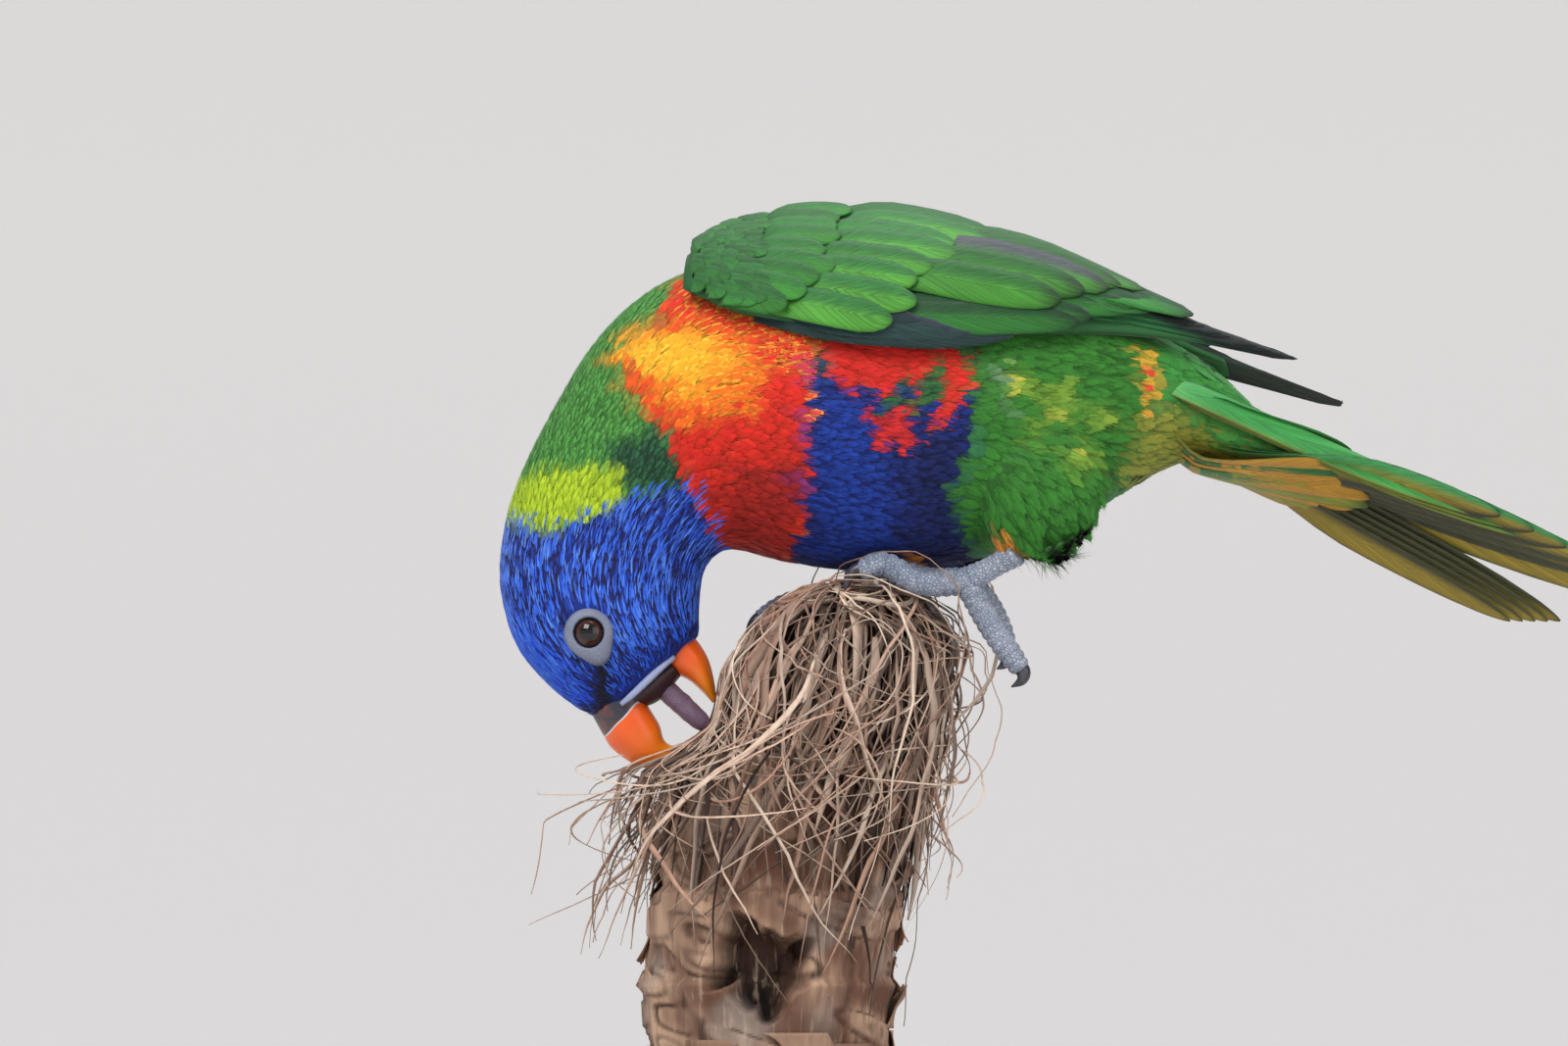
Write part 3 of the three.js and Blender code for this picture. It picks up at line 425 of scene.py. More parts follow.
base = {
    "core": tone(46, 116, 50), "rim": tone(36, 98, 44), "rimFrom": 0.6,
    "length": 8.5, "half": 2.3, "space": 2.2, "lift": 0.45,
}
coat = {
    "rump": {
        "outline": [(66, 240), (66, 200), (90, 186), (110, 165), (220, 90), (220, 240)],
        "soft": 8, "core": tone(54, 132, 52), "rim": tone(40, 108, 46),
        "length": 11, "half": 2.8, "space": 2.4,
    },
    "nape": {
        "outline": [
            (-20, 240), (-21.6, 210), (-27, 200), (-34, 194.5), (-33, 187.5), (-27.5, 180.5),
            (-22.7, 171.5), (-14, 165), (-14, 148), (-90, 148), (-90, 240),
        ],
        "soft": 1, "ragged": 1.4, "core": tone(84, 152, 68), "rim": tone(56, 116, 52), "rimFrom": 0.35,
        "length": 4.6, "half": 0.75, "space": 1.1, "lift": 0.3,
    },
    "throat side": {
        "outline": [(-36, 172), (-27, 178), (-21, 172), (-14, 166), (-12, 160), (-22, 160), (-36, 163)],
        "soft": 3, "core": tone(40, 92, 58), "rim": tone(24, 56, 44),
    },
    "breast": {
        "outline": [
            (-22, 212), (-12, 213), (6, 208), (13, 202), (14, 193), (12.5, 186), (12.5, 176),
            (12.5, 165), (11, 154.5), (8, 142), (-13, 142), (-16.5, 155), (-18, 163.6),
            (-22.7, 171.5), (-27.3, 180.6), (-33, 187.5), (-35, 194.5), (-27.5, 200.5),
        ],
        "soft": 0.6, "ragged": 1, "core": tone(210, 34, 22), "rim": tone(202, 62, 30), "rimFrom": 0.7,
        "length": 6.5, "half": 1.15, "space": 1.35, "lift": 0.36,
    },
    "breast orange": {
        "outline": [
            (-37, 194.5), (-30, 201), (-19, 203.5), (-6, 201), (1.5, 193), (-3, 183.5),
            (-13, 178.5), (-21.6, 180), (-29, 184),
        ],
        "soft": 3.4, "core": tone(236, 104, 22), "rim": tone(250, 172, 44), "rimFrom": 0.5,
    },
    "breast yellow": {
        "outline": [(-36, 196), (-27, 200.5), (-15, 199), (-9, 192), (-17, 187), (-29, 187.5)],
        "soft": 3, "core": tone(246, 170, 30), "rim": tone(252, 212, 66),
    },
    "breast top": {
        "outline": [(-21, 212), (2, 208), (10, 200), (9, 190), (-2, 194), (-14, 202), (-22, 203)],
        "soft": 3, "core": tone(214, 44, 24), "rim": tone(246, 158, 52), "rimFrom": 0.46,
        "length": 7.5, "half": 1.4, "lift": 0.8,
    },
    "breast edge": {
        "outline": [
            (9.6, 204), (12.2, 204), (12.6, 190), (10.2, 185), (10.8, 176), (10.4, 164), (8.4, 153),
            (5, 148), (3.4, 149), (6.6, 155), (8.6, 165), (8.8, 176), (8, 185), (9.8, 192),
        ],
        "soft": 0.15, "ragged": 0.2, "core": tone(218, 70, 28), "rim": tone(246, 150, 56), "rimFrom": 0.35,
    },
    "breast low": {
        "outline": [(-9, 167), (10, 172), (8, 142), (-14, 142), (-15, 156)],
        "soft": 7, "core": tone(158, 26, 20), "rim": tone(150, 40, 24),
    },
    "belly": {
        "outline": [
            (10.5, 194), (22, 196), (46, 186), (47, 171.5), (42, 162.5), (44, 154.5), (52, 146),
            (60, 130), (2, 130), (3.4, 147), (7, 156), (9, 165), (9.2, 176), (9, 185),
        ],
        "soft": 0.2, "ragged": 0.6, "core": tone(13, 36, 114), "rim": tone(9, 18, 64), "rimFrom": 0.5,
        "length": 6, "half": 1.0, "space": 1.25, "lift": 0.16,
    },
    "belly light": {
        "outline": [(10, 190), (20, 184), (26, 166), (30, 150), (10, 146)],
        "soft": 5, "core": tone(17, 54, 150), "rim": tone(12, 28, 90),
    },
    "belly rear": {
        "outline": [(30, 176), (50, 178), (46, 160), (56, 140), (26, 140), (32, 160)],
        "soft": 5, "core": tone(10, 28, 90), "rim": tone(7, 14, 48),
    },
    # Below the wing the flank's green is painted darker: painted shade where the wing shades the side.
    "painted shade under the wing": {
        "outline": [(8, 208), (50, 208), (47, 190), (38, 186), (26, 186), (14, 189), (10, 197)],
        "soft": 2.5, "core": tone(38, 92, 44), "rim": tone(20, 50, 38), "rimFrom": 0.6,
    },
    "red streak front": {
        "outline": [
            (11, 206), (37, 206), (36, 189), (33, 184.8), (30.7, 190.6), (28.4, 185.4), (24.6, 183),
            (21.6, 188.4), (19.3, 183.9), (14.1, 187.6), (13, 194),
        ],
        "soft": 0.3, "ragged": 0.4, "core": tone(208, 34, 26), "rim": tone(196, 52, 30), "rimFrom": 0.8,
        "half": 0.85, "space": 1.1,
    },
    "red streak rear": {
        "outline": [
            (36.4, 206), (43.4, 206), (45, 188), (41.4, 180.2), (35.4, 174.6), (39.8, 185.5), (36.8, 193),
        ],
        "soft": 0.3, "ragged": 0.4, "core": tone(206, 34, 28), "rim": tone(206, 90, 40), "rimFrom": 0.8,
        "half": 0.85, "space": 1.1,
    },
    "red streak low": {
        "outline": [
            (20.2, 181.6), (24.8, 180), (27.8, 180.6), (33.8, 184.6), (35.4, 182.8), (30.8, 177.6),
            (33.4, 173.8), (32, 171.4), (28.2, 174.4), (24.6, 171.8), (23, 174.6), (25.4, 177), (20.8, 179),
        ],
        "soft": 0.25, "ragged": 0.3, "core": tone(196, 36, 36), "rim": tone(170, 36, 50), "rimFrom": 0.8,
        "half": 0.85, "space": 1.1,
    },
    "green strokes": {
        "outline": [
            (30.6, 192.5), (33.4, 184.5), (31, 182.6), (23.6, 180), (28.8, 186), (31, 183), (33, 180.2),
            (39.6, 185.6), (36.8, 193.4), (35, 187), (33.6, 184),
        ],
        "soft": 0.4, "ragged": 0.3, "core": tone(42, 96, 44), "rim": tone(30, 70, 52),
    },
    "flank": {
        "outline": [
            (46, 206), (86, 206), (91, 192), (90, 178), (86, 168), (78, 160), (72, 140),
            (50, 132), (48.5, 147.7), (43.2, 154.5), (40, 162), (46.4, 171.5), (46.4, 185.2),
        ],
        "soft": 1.2, "ragged": 1.3, "core": tone(46, 114, 34), "rim": tone(38, 94, 32), "rimFrom": 0.6,
        "length": 9, "half": 1.4, "space": 1.5, "lift": 0.25,
    },
    "down": {
        "spots": [(51.6, 188, 2.4), (53, 183, 1.6)],
        "soft": 2.2, "core": tone(104, 138, 104), "rim": tone(84, 122, 84),
    },
    "pale green": {
        "spots": [
            (56.5, 186.6, 3), (65, 182, 3.6), (76, 180.8, 2.8), (71.6, 171, 3), (67, 187, 2.4), (60, 176, 2),
        ],
        "soft": 3, "core": tone(112, 148, 46), "rim": tone(96, 138, 46),
    },
    "pale flecks": {
        "spots": [(55.7, 187.2, 1.3), (65, 181.2, 1.4), (75.6, 181, 1), (71, 172, 0.8)],
        "soft": 0.9, "core": tone(196, 192, 70), "rim": tone(150, 164, 60),
    },
    "vent": {
        "outline": [(84, 197), (88, 196), (91, 191.5), (90.5, 185), (88.6, 178), (86, 179), (85.4, 187.5)],
        "soft": 1.2, "core": tone(206, 158, 48), "rim": tone(150, 160, 60), "rimFrom": 0.5,
    },
    "vent spot": {
        "spots": [(87, 191, 1.3), (86.6, 187, 1), (88.4, 182, 1.3)],
        "soft": 0.6, "core": tone(204, 62, 34),
    },
    "under the tail": {
        "outline": [(85, 180), (93, 184), (120, 168), (150, 140), (90, 150), (82, 166)],
        "soft": 3, "core": tone(130, 134, 46), "rim": tone(70, 104, 42),
        "length": 9, "half": 1.8, "space": 1.7,
    },
    "leg band": {
        "spots": [(53.5, 148.6, 3), (32, 146, 3)],
        "soft": 1, "core": tone(214, 128, 46), "rim": tone(180, 120, 50),
    },
    "hood": {
        "outline": [
            (-62.5, 157), (-55, 155.5), (-50, 154.5), (-42, 157.5), (-33, 161), (-25, 163.5), (-18, 163),
            (-14, 157), (-10, 148), (-8, 130), (-30, 98), (-60, 95), (-90, 120), (-90, 157),
        ],
        "soft": 0.7, "ragged": 1, "core": tone(24, 56, 166), "rim": tone(20, 24, 74), "rimFrom": 0.16,
        "length": 6, "half": 0.95, "space": 1.3, "lift": 0.2,
    },
    "collar": {
        "outline": [
            (-68, 164), (-57, 167), (-49, 169), (-40, 168.6), (-34.5, 167), (-33, 163), (-37, 158.5),
            (-42, 157), (-49, 153.8), (-54, 155), (-66, 159),
        ],
        "soft": 1.6, "core": tone(176, 204, 40), "rim": tone(140, 180, 44), "rimFrom": 0.6,
        "length": 5.5, "half": 0.7, "space": 1.05, "lift": 0.4,
    },
    "forehead": {
        "outline": [(-64, 136), (-53, 130), (-47.5, 123), (-42, 117), (-42, 106), (-64, 106)],
        "soft": 2.5, "core": tone(24, 74, 220), "rim": tone(18, 34, 120), "rimFrom": 0.45,
        "length": 3.6, "half": 0.65, "space": 0.95, "lift": 0.15,
    },
    "chin": {
        "outline": [(-33, 128), (-22, 134), (-10, 142), (-10, 120), (-36, 108), (-38, 122)],
        "soft": 4, "length": 3.2, "half": 0.65, "space": 0.95, "lift": 0.2,
    },
    "lores": {
        "outline": [(-39.5, 123.5), (-37, 125), (-36.4, 120), (-37, 112), (-43, 110), (-40, 115)],
        "soft": 1, "core": tone(22, 28, 62), "rim": tone(14, 16, 30),
        "length": 2.2, "half": 0.5, "space": 0.9, "lift": 0.15,
    },
}


def insideBy(patch, x, z):  # how far a point lies inside a patch, under 0 outside
    if "spots" in patch:
        return np.max([r - np.hypot(x - cx, z - cz) for cx, cz, r in patch["spots"]], axis=0)
    nearest = np.full(len(x), 1e9)
    inside = np.zeros(len(x), bool)
    points = patch["outline"]
    for (x0, z0), (x1, z1) in zip(points, points[1:] + points[:1]):
        ex, ez = x1 - x0, z1 - z0
        t = np.clip(((x - x0) * ex + (z - z0) * ez) / (ex * ex + ez * ez), 0, 1)
        nearest = np.minimum(nearest, np.hypot(x - x0 - t * ex, z - z0 - t * ez))
        if ez:
            inside ^= ((z0 > z) != (z1 > z)) & (x < x0 + (z - z0) / ez * ex)
    return np.where(inside, nearest, -nearest)


def coatAt(points):
    x, z = points[:, 0], points[:, 2]
    look = {key: np.tile(np.atleast_1d(value), (len(points), 1)) for key, value in base.items()}
    ragged = wobble(points, 5, 3)
    for patch in coat.values():
        soft = patch["soft"]
        share = smooth(-soft, soft, insideBy(patch, x, z) + ragged * patch.get("ragged", soft * 0.7))[:, None]
        for key in look:
            if key in patch:
                look[key] = lerp(look[key], patch[key], share)
    return look


# The skin: body and thighs as one surface, inside the solids by the coat's depth

skinSet = {
    "depth": 1.7, "headDepth": 1.0, "headFrom": (10, 13), "voxel": 1.15,
    # shade darkens the skin's colour: painted shade where the skin shows between the plumes
    "sides": 96, "perStation": 8, "relax": 14, "shade": 0.45,
}


def buildSkin():
    s = np.linspace(-2, lastStation, (lastStation + 2) * skinSet["perStation"] + 1)
    a = around(skinSet["sides"])
    sGrid, aGrid = (grid.ravel() for grid in np.meshgrid(s, a, indexing="ij"))
    depth = lerp(skinSet["depth"], skinSet["headDepth"], smooth(*skinSet["headFrom"], sGrid))
    rings = bodyPoint(sGrid, aGrid, -depth).reshape(len(s), len(a), 3)
    shapes = [rings]
    for leg in legs.values():
        sizes = np.array(leg["thighSizes"]) - skinSet["depth"] - (0, 0.6)
        inner = np.array(leg["thigh"]) - (0, 1.6 * np.sign(leg["hub"][1]), 0)
        shapes.append(sweepRings(inner, sizes, sides=32))
    points, faces, start = [], [], 0
    for shape in shapes:
        quads, caps = tubeFaces(shape.shape[0], shape.shape[1], start)
        points.append(shape.reshape(-1, 3))
        faces += quads.tolist() + caps.tolist()
        start += len(points[-1])
    rough = bpy.data.meshes.new("rough")
    rough.from_pydata((np.vstack(points) * mm).tolist(), [], faces)
    holder = bpy.data.objects.new("rough", rough)
    scene.collection.objects.link(holder)
    remesh = holder.modifiers.new("remesh", "REMESH")
    remesh.mode = "VOXEL"
    remesh.voxel_size = skinSet["voxel"] * mm
    relax = holder.modifiers.new("relax", "SMOOTH")
    relax.factor = 0.5
    relax.iterations = skinSet["relax"]
    bpy.context.view_layer.update()
    made = bpy.data.meshes.new_from_object(holder.evaluated_get(bpy.context.evaluated_depsgraph_get()))
    bpy.data.objects.remove(holder)
    co = np.zeros(len(made.vertices) * 3)
    made.vertices.foreach_get("co", co)
    normals = np.zeros(len(co))
    made.vertices.foreach_get("normal", normals)
    quads = np.zeros(len(made.loops), np.int32)
    made.loops.foreach_get("vertex_index", quads)
    quads = quads.reshape(-1, 4)
    outer = bodyPoint(sGrid, aGrid)
    tree = KDTree(len(outer))
    for i, p in enumerate(outer.tolist()):
        tree.insert(p, i)
    tree.balance()
    points = co.reshape(-1, 3) / mm
    near = np.array([tree.find(p)[1] for p in points.tolist()])
    return {
        "points": points,
        "normals": unit(normals.reshape(-1, 3)),
        "quads": quads,
        "s": sGrid[near],
        "a": aGrid[near],
        "tree": BVHTree.FromPolygons(points.tolist(), quads.tolist()),
    }


def unwrapped(s, a):  # a place on the body's own unwrap, inside a margin
    return 0.03 + 0.94 * np.stack([(s + 2) / (lastStation + 2), a / (2 * math.pi)], -1)


print("stage: skin")
skin = buildSkin()
plumeFinish = feathers("bodyPlumes", 0.72, 9, 0.7, 0.35)
skinLook = coatAt(skin["points"])
skinUv = unwrapped(skin["s"], skin["a"])
# The skin takes the coat's colours darkened by skinSet's shade: painted shade between the plumes.
skinRim = np.column_stack([skinLook["rim"] * skinSet["shade"], np.full(len(skinUv), 2)])
skinBody = addMesh(
    "skin", skin["points"], skin["quads"], plumeFinish, uv=skinUv, extra=np.full((len(skinUv), 2), 0.5),
    colours={"core": skinLook["core"] * skinSet["shade"], "rim": skinRim},
)
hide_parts("head", "neck", "torso", "thigh_left", "thigh_right")


# Body plumes: closed, slightly domed vanes rooted in the skin

def barbPoints(rows, half):  # a tapering three-sided barb: rows of (share of length, of width, height)
    v, w, rise = np.array(rows, float).T
    taper = np.linspace(1, 0.6, len(rows) - 1)
    sides = ((-1, 0), (1, 0), (0, 1))
    points = [
        (v[i], w[i] + x * half * k, rise[i] + y * half * k)
        for i, k in enumerate(taper) for x, y in sides
    ]
    points.append((v[-1], w[-1], rise[-1] + half * 0.5))
    quads = [
        (3 * i + k, 3 * i + (k + 1) % 3, 3 * i + 3 + (k + 1) % 3, 3 * i + 3 + k)
        for i in range(len(rows) - 2) for k in range(3)
    ]
    last = len(points) - 4
    tris = [(last + k, last + (k + 1) % 3, last + 3) for k in range(3)] + [(2, 1, 0)]
    return points, quads, tris


def plumeForm(rows=(), columns=7, rounding=0, tooth=0, barbs=()):  # rows of (share of length, of width)
    points, quads, caps, tris = [], [], [], []
    if rows:
        side = np.linspace(-1, 1, columns)
        for v, w in rows:
            for k, u in enumerate(side):
                cut = tooth * (k % 2 == 0) if (v, w) == rows[-1] else 0
                points.append((v - v**3 * rounding * u * u - cut, w * u, w * (1 - u * u) * 0.12))
        for r in range(len(rows) - 1):
            first = r * columns
            left = range(first, first + columns - 1)
            quads += [(c, c + columns, c + columns + 1, c + 1) for c in left]
            quads.append((first, first + columns - 1, first + 2 * columns - 1, first + columns))
        end = (len(rows) - 1) * columns
        caps = [list(range(columns)), [end + k for k in range(columns - 1, -1, -1)]]
    for barb in barbs:
        start = len(points)
        made, four, three = barbPoints(*barb)
        points += made
        quads += [[start + k for k in face] for face in four]
        tris += [[start + k for k in face] for face in three]
    v, w, rise = np.array(points).T
    return {"v": v, "w": w, "rise": rise, "faces": [np.array(g) for g in (quads, caps, tris) if g]}


plumeForms = {
    "soft": plumeForm(
        [(0, 0.5), (0.3, 0.92), (0.6, 1), (0.84, 0.88), (1, 0.56)], 5, 0.22, 0.1,
        [
            (((0.5, w * 0.85, 0.02), (0.8, w * 0.95, 0.03), (1.1 - 0.24 * w * w + k, w * 1.04, -0.02)), 0.085)
            for w, k in ((-0.72, 0), (-0.08, 0.05), (0.6, 0.02))
        ],
    ),
    "hair": plumeForm(barbs=[(((0, 0, 0), (0.35, 0.3, 0.1), (0.7, 0.2, 0), (1, -0.6, -0.3)), 1.0)]),
}


def nearestSkin(points):
    return np.array([skin["tree"].find_nearest(p)[0] for p in points.tolist()])


def growPlumes(name, form, seats, look, seed, turn=0.13, sink=0.5):  # one piece with a plume at each seat
    rng = np.random.default_rng(seed)
    roots, normals, lies, s, a = seats
    count = len(roots)
    length = look["length"][:, 0] * rng.uniform(0.78, 1.18, count)
    half = look["half"][:, 0] * rng.uniform(0.8, 1.2, count)
    lift = look["lift"][:, 0] * rng.uniform(0.6, 1.4, count)
    across = unit(np.cross(normals, lies))
    angle = rng.normal(0, turn, count)[:, None]
    lies = unit(lies * np.cos(angle) + across * np.sin(angle))
    across = unit(np.cross(normals, lies))
    tips = roots + lies * length[:, None]
    drop = np.clip(((tips - nearestSkin(tips)) * normals).sum(1), -0.7 * length, 0.28 * length)
    mids = roots + lies * length[:, None] * 0.5
    ridge = ((nearestSkin(mids) - mids) * normals).sum(1)
    hump = np.clip(ridge + 0.3 * lift - (0.5 * lift - 0.5 * sink - 0.25 * drop), 0, 0.4 * length)
    v, w = form["v"][None, :], form["w"][None, :]
    height = -sink + (lift + sink)[:, None] * v - drop[:, None] * v**2
    height = height + form["rise"][None, :] * half[:, None]
    height = height + 4 * hump[:, None] * v * (1 - np.minimum(v, 1))
    points = (
        roots[:, None]
        + lies[:, None] * (length[:, None] * v)[..., None]
        + across[:, None] * (half[:, None] * w)[..., None]
        + normals[:, None] * height[..., None]
    )
    size = len(form["v"])
    offset = (np.arange(count) * size)[:, None, None]
    faces = [(g[None] + offset).reshape(-1, g.shape[1]) for g in form["faces"]]
    flat = np.clip(form["w"], -1, 1)
    extra = np.tile(np.stack([flat * 0.5 + 0.5, form["v"]], -1), (count, 1))
    patch = np.tile(np.stack([flat, form["v"] * 2 - 1], -1) * 0.0015, (count, 1))
    lightness = rng.uniform(0.92, 1.08, count)[:, None]
    core = np.clip(look["core"] * lightness, 0, 1)
    rim = np.clip(look["rim"] * lightness, 0, 1)
    fall = (np.clip(drop / length, -0.3, 0.3)[:, None] * 1.6 * v)[..., None]
    bent = unit(normals[:, None] + across[:, None] * (0.3 * flat[None, :, None]) + lies[:, None] * fall)
    piece = addMesh(
        name, points.reshape(-1, 3), faces, plumeFinish,
        uv=np.repeat(unwrapped(s, a), size, 0) + patch,
        extra=extra,
        colours={
            "core": np.repeat(np.column_stack([core, rng.uniform(0, 1, count)]), size, 0),
            "rim": np.repeat(np.column_stack([rim, look["rimFrom"]]), size, 0),
        },
        normals=bent.reshape(-1, 3),
    )
    print("  ", name, count)


def areas(wanted):  # the skin's triangles, their spacing and how many plumes each has room for
    quads = skin["quads"]
    tris = np.vstack([quads[:, [0, 1, 2]], quads[:, [0, 2, 3]]])
    corners = skin["points"][tris]
    middle = corners.mean(1)
    space = coatAt(middle)["space"][:, 0]
    across = np.cross(corners[:, 1] - corners[:, 0], corners[:, 2] - corners[:, 0])
    area = np.linalg.norm(across, axis=1) / 2
    found = wanted(middle, skin["s"][tris[:, 0]], skin["a"][tris[:, 0]])
    return tris, space, np.where(found, area / space**2, 0)


def placed(tris, chosen, shares):
    picked = tris[chosen]
    places = (skin["points"][picked] * shares[..., None]).sum(1)
    normals = unit((skin["normals"][picked] * shares[..., None]).sum(1))
    return places, normals, skin["s"][picked[:, 0]], skin["a"][picked[:, 0]]


def seated(roots, normals, s, a):  # seats for plumes: roots, normals, ways they lie, and s and a
    return roots, normals, lieAt(roots, normals, s, a), s, a


def sprinkle(wanted, density, seed):  # seats at random on the skin
    rng = np.random.default_rng(seed)
    tris, _, weight = areas(wanted)
    count = int(weight.sum() * density)
    chosen = rng.choice(len(tris), count, p=weight / weight.sum())
    return seated(*placed(tris, chosen, rng.dirichlet((1, 1, 1), count)))


def scatter(wanted, seed):  # seats on the skin that keep the coat's spacing
    rng = np.random.default_rng(seed)
    tris, space, weight = areas(wanted)
    tries = int(weight.sum() * 4)
    chosen = rng.choice(len(tris), tries, p=weight / weight.sum())
    shares = rng.dirichlet((1, 1, 1), tries)
    places, normals, s, a = placed(tris, chosen, shares)
    cells = np.floor(places / float(space[chosen].max())).astype(int).tolist()
    near = [(i, j, k) for i in (-1, 0, 1) for j in (-1, 0, 1) for k in (-1, 0, 1)]
    taken, kept = {}, []
    for n, (p, (ci, cj, ck), gap) in enumerate(zip(places.tolist(), cells, (space[chosen] ** 2).tolist())):
        around = (q for i, j, k in near for q in taken.get((ci + i, cj + j, ck + k), ()))
        if all((p[0] - q[0]) ** 2 + (p[1] - q[1]) ** 2 + (p[2] - q[2]) ** 2 >= gap for q in around):
            taken.setdefault((ci, cj, ck), []).append(p)
            kept.append(n)
    return seated(places[kept], normals[kept], s[kept], a[kept])


def lieAt(points, normals, s, a):  # towards the tail, and down the thighs
    ahead = bodyPoint(np.clip(s - 0.2, -2, None), a)
    behind = bodyPoint(np.clip(s + 0.2, None, lastStation), a)
    lie = unit(ahead - behind)
    x, z = points[:, 0], points[:, 2]
    thigh = smooth(36, 46, x) * smooth(92, 80, x) * smooth(186, 162, z)
    down = unit(np.array([0.45, 0, -1]))
    lie = unit(lerp(lie, down[None], 0.85 * thigh[:, None]))
    return unit(lie - normals * (lie * normals).sum(1)[:, None])


wingShade = {
    "outline": [(-14, 224), (60, 219), (100, 203), (100, 203.5), (60, 206), (20, 206), (-10, 212)],
    "fromMiddle": 11,
}
coatEnds = {"tail": -1.1, "bill": 16.75}  # where on s the plumes stop


def feathered(points, s):  # leaves out the eyes, the bill's base and what the wings hide
    x, y, z = points.T
    eye = (np.hypot(x - eyePlace["x"], z - eyePlace["z"]) < eyePlace["bare"]) & (np.abs(y) > 4)
    hidden = (insideBy(wingShade, x, z) > 0) & (np.abs(y) > wingShade["fromMiddle"])
    return ~eye & (s < coatEnds["bill"]) & (s > coatEnds["tail"]) & ~hidden


def growStreaks(name, where, seed):  # bright narrow plumes over the hood's dark ones
    rng = np.random.default_rng(seed)
    seats = sprinkle(where, streakSet["perPlume"], seed)
    roots, s = seats[0], seats[3]
    face = smooth(14.6, 16.4, s)[:, None]
    look = coatAt(roots)
    bright = lerp(tone(36, 92, 224), tone(104, 156, 244), rng.beta(1, 3.2, (len(roots), 1)))
    back = smooth(-50, -60, roots[:, :1]) * smooth(138, 150, roots[:, 2:])
    bright = lerp(bright, tone(104, 140, 214), 0.5 * back)
    red, green, blue = look["core"].T
    isBlue = (blue > 0.3) & (green < 0.3) & (red < 0.1)
    seats = [g[isBlue] for g in seats]
    face, bright = face[isBlue], bright[isBlue]
    look = {key: value[isBlue] for key, value in look.items()}
    look["core"] = look["rim"] = lerp(bright, tone(22, 84, 232), face * 0.7)
    look["half"] = lerp(streakSet["half"], streakSet["half"] * 0.6, face)
    look["length"] = lerp(streakSet["length"], streakSet["faceLength"], face)
    look["lift"] = look["lift"] + 0.1
    growPlumes(name, plumeForms["hair"], seats, look, seed + 5, 0.1, 0.3)


def growCoat():
    parts = {
        "hood": lambda s: s > 12.2,
        "nape": lambda s: (s <= 12.2) & (s > 8),
        "front": lambda s: (s <= 8) & (s > 5.2),
        "middle": lambda s: (s <= 5.2) & (s > 2.6),
        "rear": lambda s: s <= 2.6,
    }
    for index, (part, chosen) in enumerate(parts.items()):
        for side in (-1, 1):
            number = 2 * index + (side > 0)
            where = lambda p, s, a: feathered(p, s) & chosen(s) & ((p[:, 1] >= 0) == (side > 0))
            ending = "Left" if side < 0 else "Right"
            rng = np.random.default_rng(60 + number)
            seats = scatter(where, 20 + number)
            roots, _, lies = seats[:3]
            shown = roots + lies * coatAt(roots)["length"] * 0.6
            look = coatAt(shown + rng.normal(0, 0.35, roots.shape))
            growPlumes(part + "Plumes" + ending, plumeForms["soft"], seats, look, 40 + number)
            if part in ("hood", "nape"):
                growStreaks(part + "Streaks" + ending, where, 110 + number)
            if part == "hood":
                continue
            seats = sprinkle(where, hairSet["perPlume"], 80 + number)
            roots, _, lies = seats[:3]
            look = coatAt(roots + lies * coatAt(roots)["length"] * 0.5 + rng.normal(0, 0.6, roots.shape))
            pale = rng.uniform(0, 1, (len(roots), 1))
            for key in ("core", "rim"):
                look[key] = lerp(look["rim"] * 0.85, look["core"] * 1.1, pale)
            look["half"] = hairSet["half"] * np.ones((len(roots), 1))
            look["length"] = look["length"] * hairSet["length"]
            look["lift"] = look["lift"] + hairSet["lift"]
            wisp = smooth(157, 150, roots[:, 2:]) * smooth(50, 56, roots[:, :1])
            look["length"] = look["length"] * (1 + 0.6 * wisp)
            look["core"] = lerp(look["core"], tone(30, 54, 24), 0.6 * wisp * (pale < 0.4))
            growPlumes(part + "Hairs" + ending, plumeForms["hair"], seats, look, 90 + number, 0.2)


print("stage: body plumes")
streakSet = {"perPlume": 1.0, "half": 0.33, "length": 5.6, "faceLength": 3.2}
hairSet = {"perPlume": 2.7, "half": 0.095, "length": 0.85, "lift": 0.22}
growCoat()


# Wings

wing = {
    "stations": [  # upper x and z, lower x and z, least y of both, bulge
        (-19, 218.5, -20, 210, 12, 18, 1.5),
        (-9.5, 225, -11, 206.5, 7, 20, 3),
        (3.5, 228.5, 3.5, 203, 4.5, 20, 4),
        (20, 230, 21.5, 200, 3.5, 20, 4.5),
        (40, 227.5, 41, 199.5, 3, 20, 4.5),
        (60, 221.5, 61.5, 201, 3, 20, 4),
        (78.5, 213.5, 81, 201.5, 3.5, 18, 2.8),
        (94.5, 207, 96.5, 200.5, 5, 14, 1.6),
        (109, 202, 109.5, 198.5, 7, 11, 0.8),
        (124, 196.8, 124, 195.4, 8.6, 9.4, 0.2),
    ],
    "lift": 4.5,
    "tipShift": {"left": (0, 0, 0), "right": (10, 7, -9)},
    "sink": 4.2,
    "thickness": 0.2,
}


def vaneOutline(rows, count=17):  # more rows, as (share of length, share of width)
    rows = np.array(rows)
    share = np.sort(np.concatenate([np.linspace(0, 0.9, count - 6), [0.93, 0.955, 0.975, 0.988, 0.996, 1]]))
    return np.stack([share, np.interp(share, rows[:, 0], rows[:, 1])], 1)


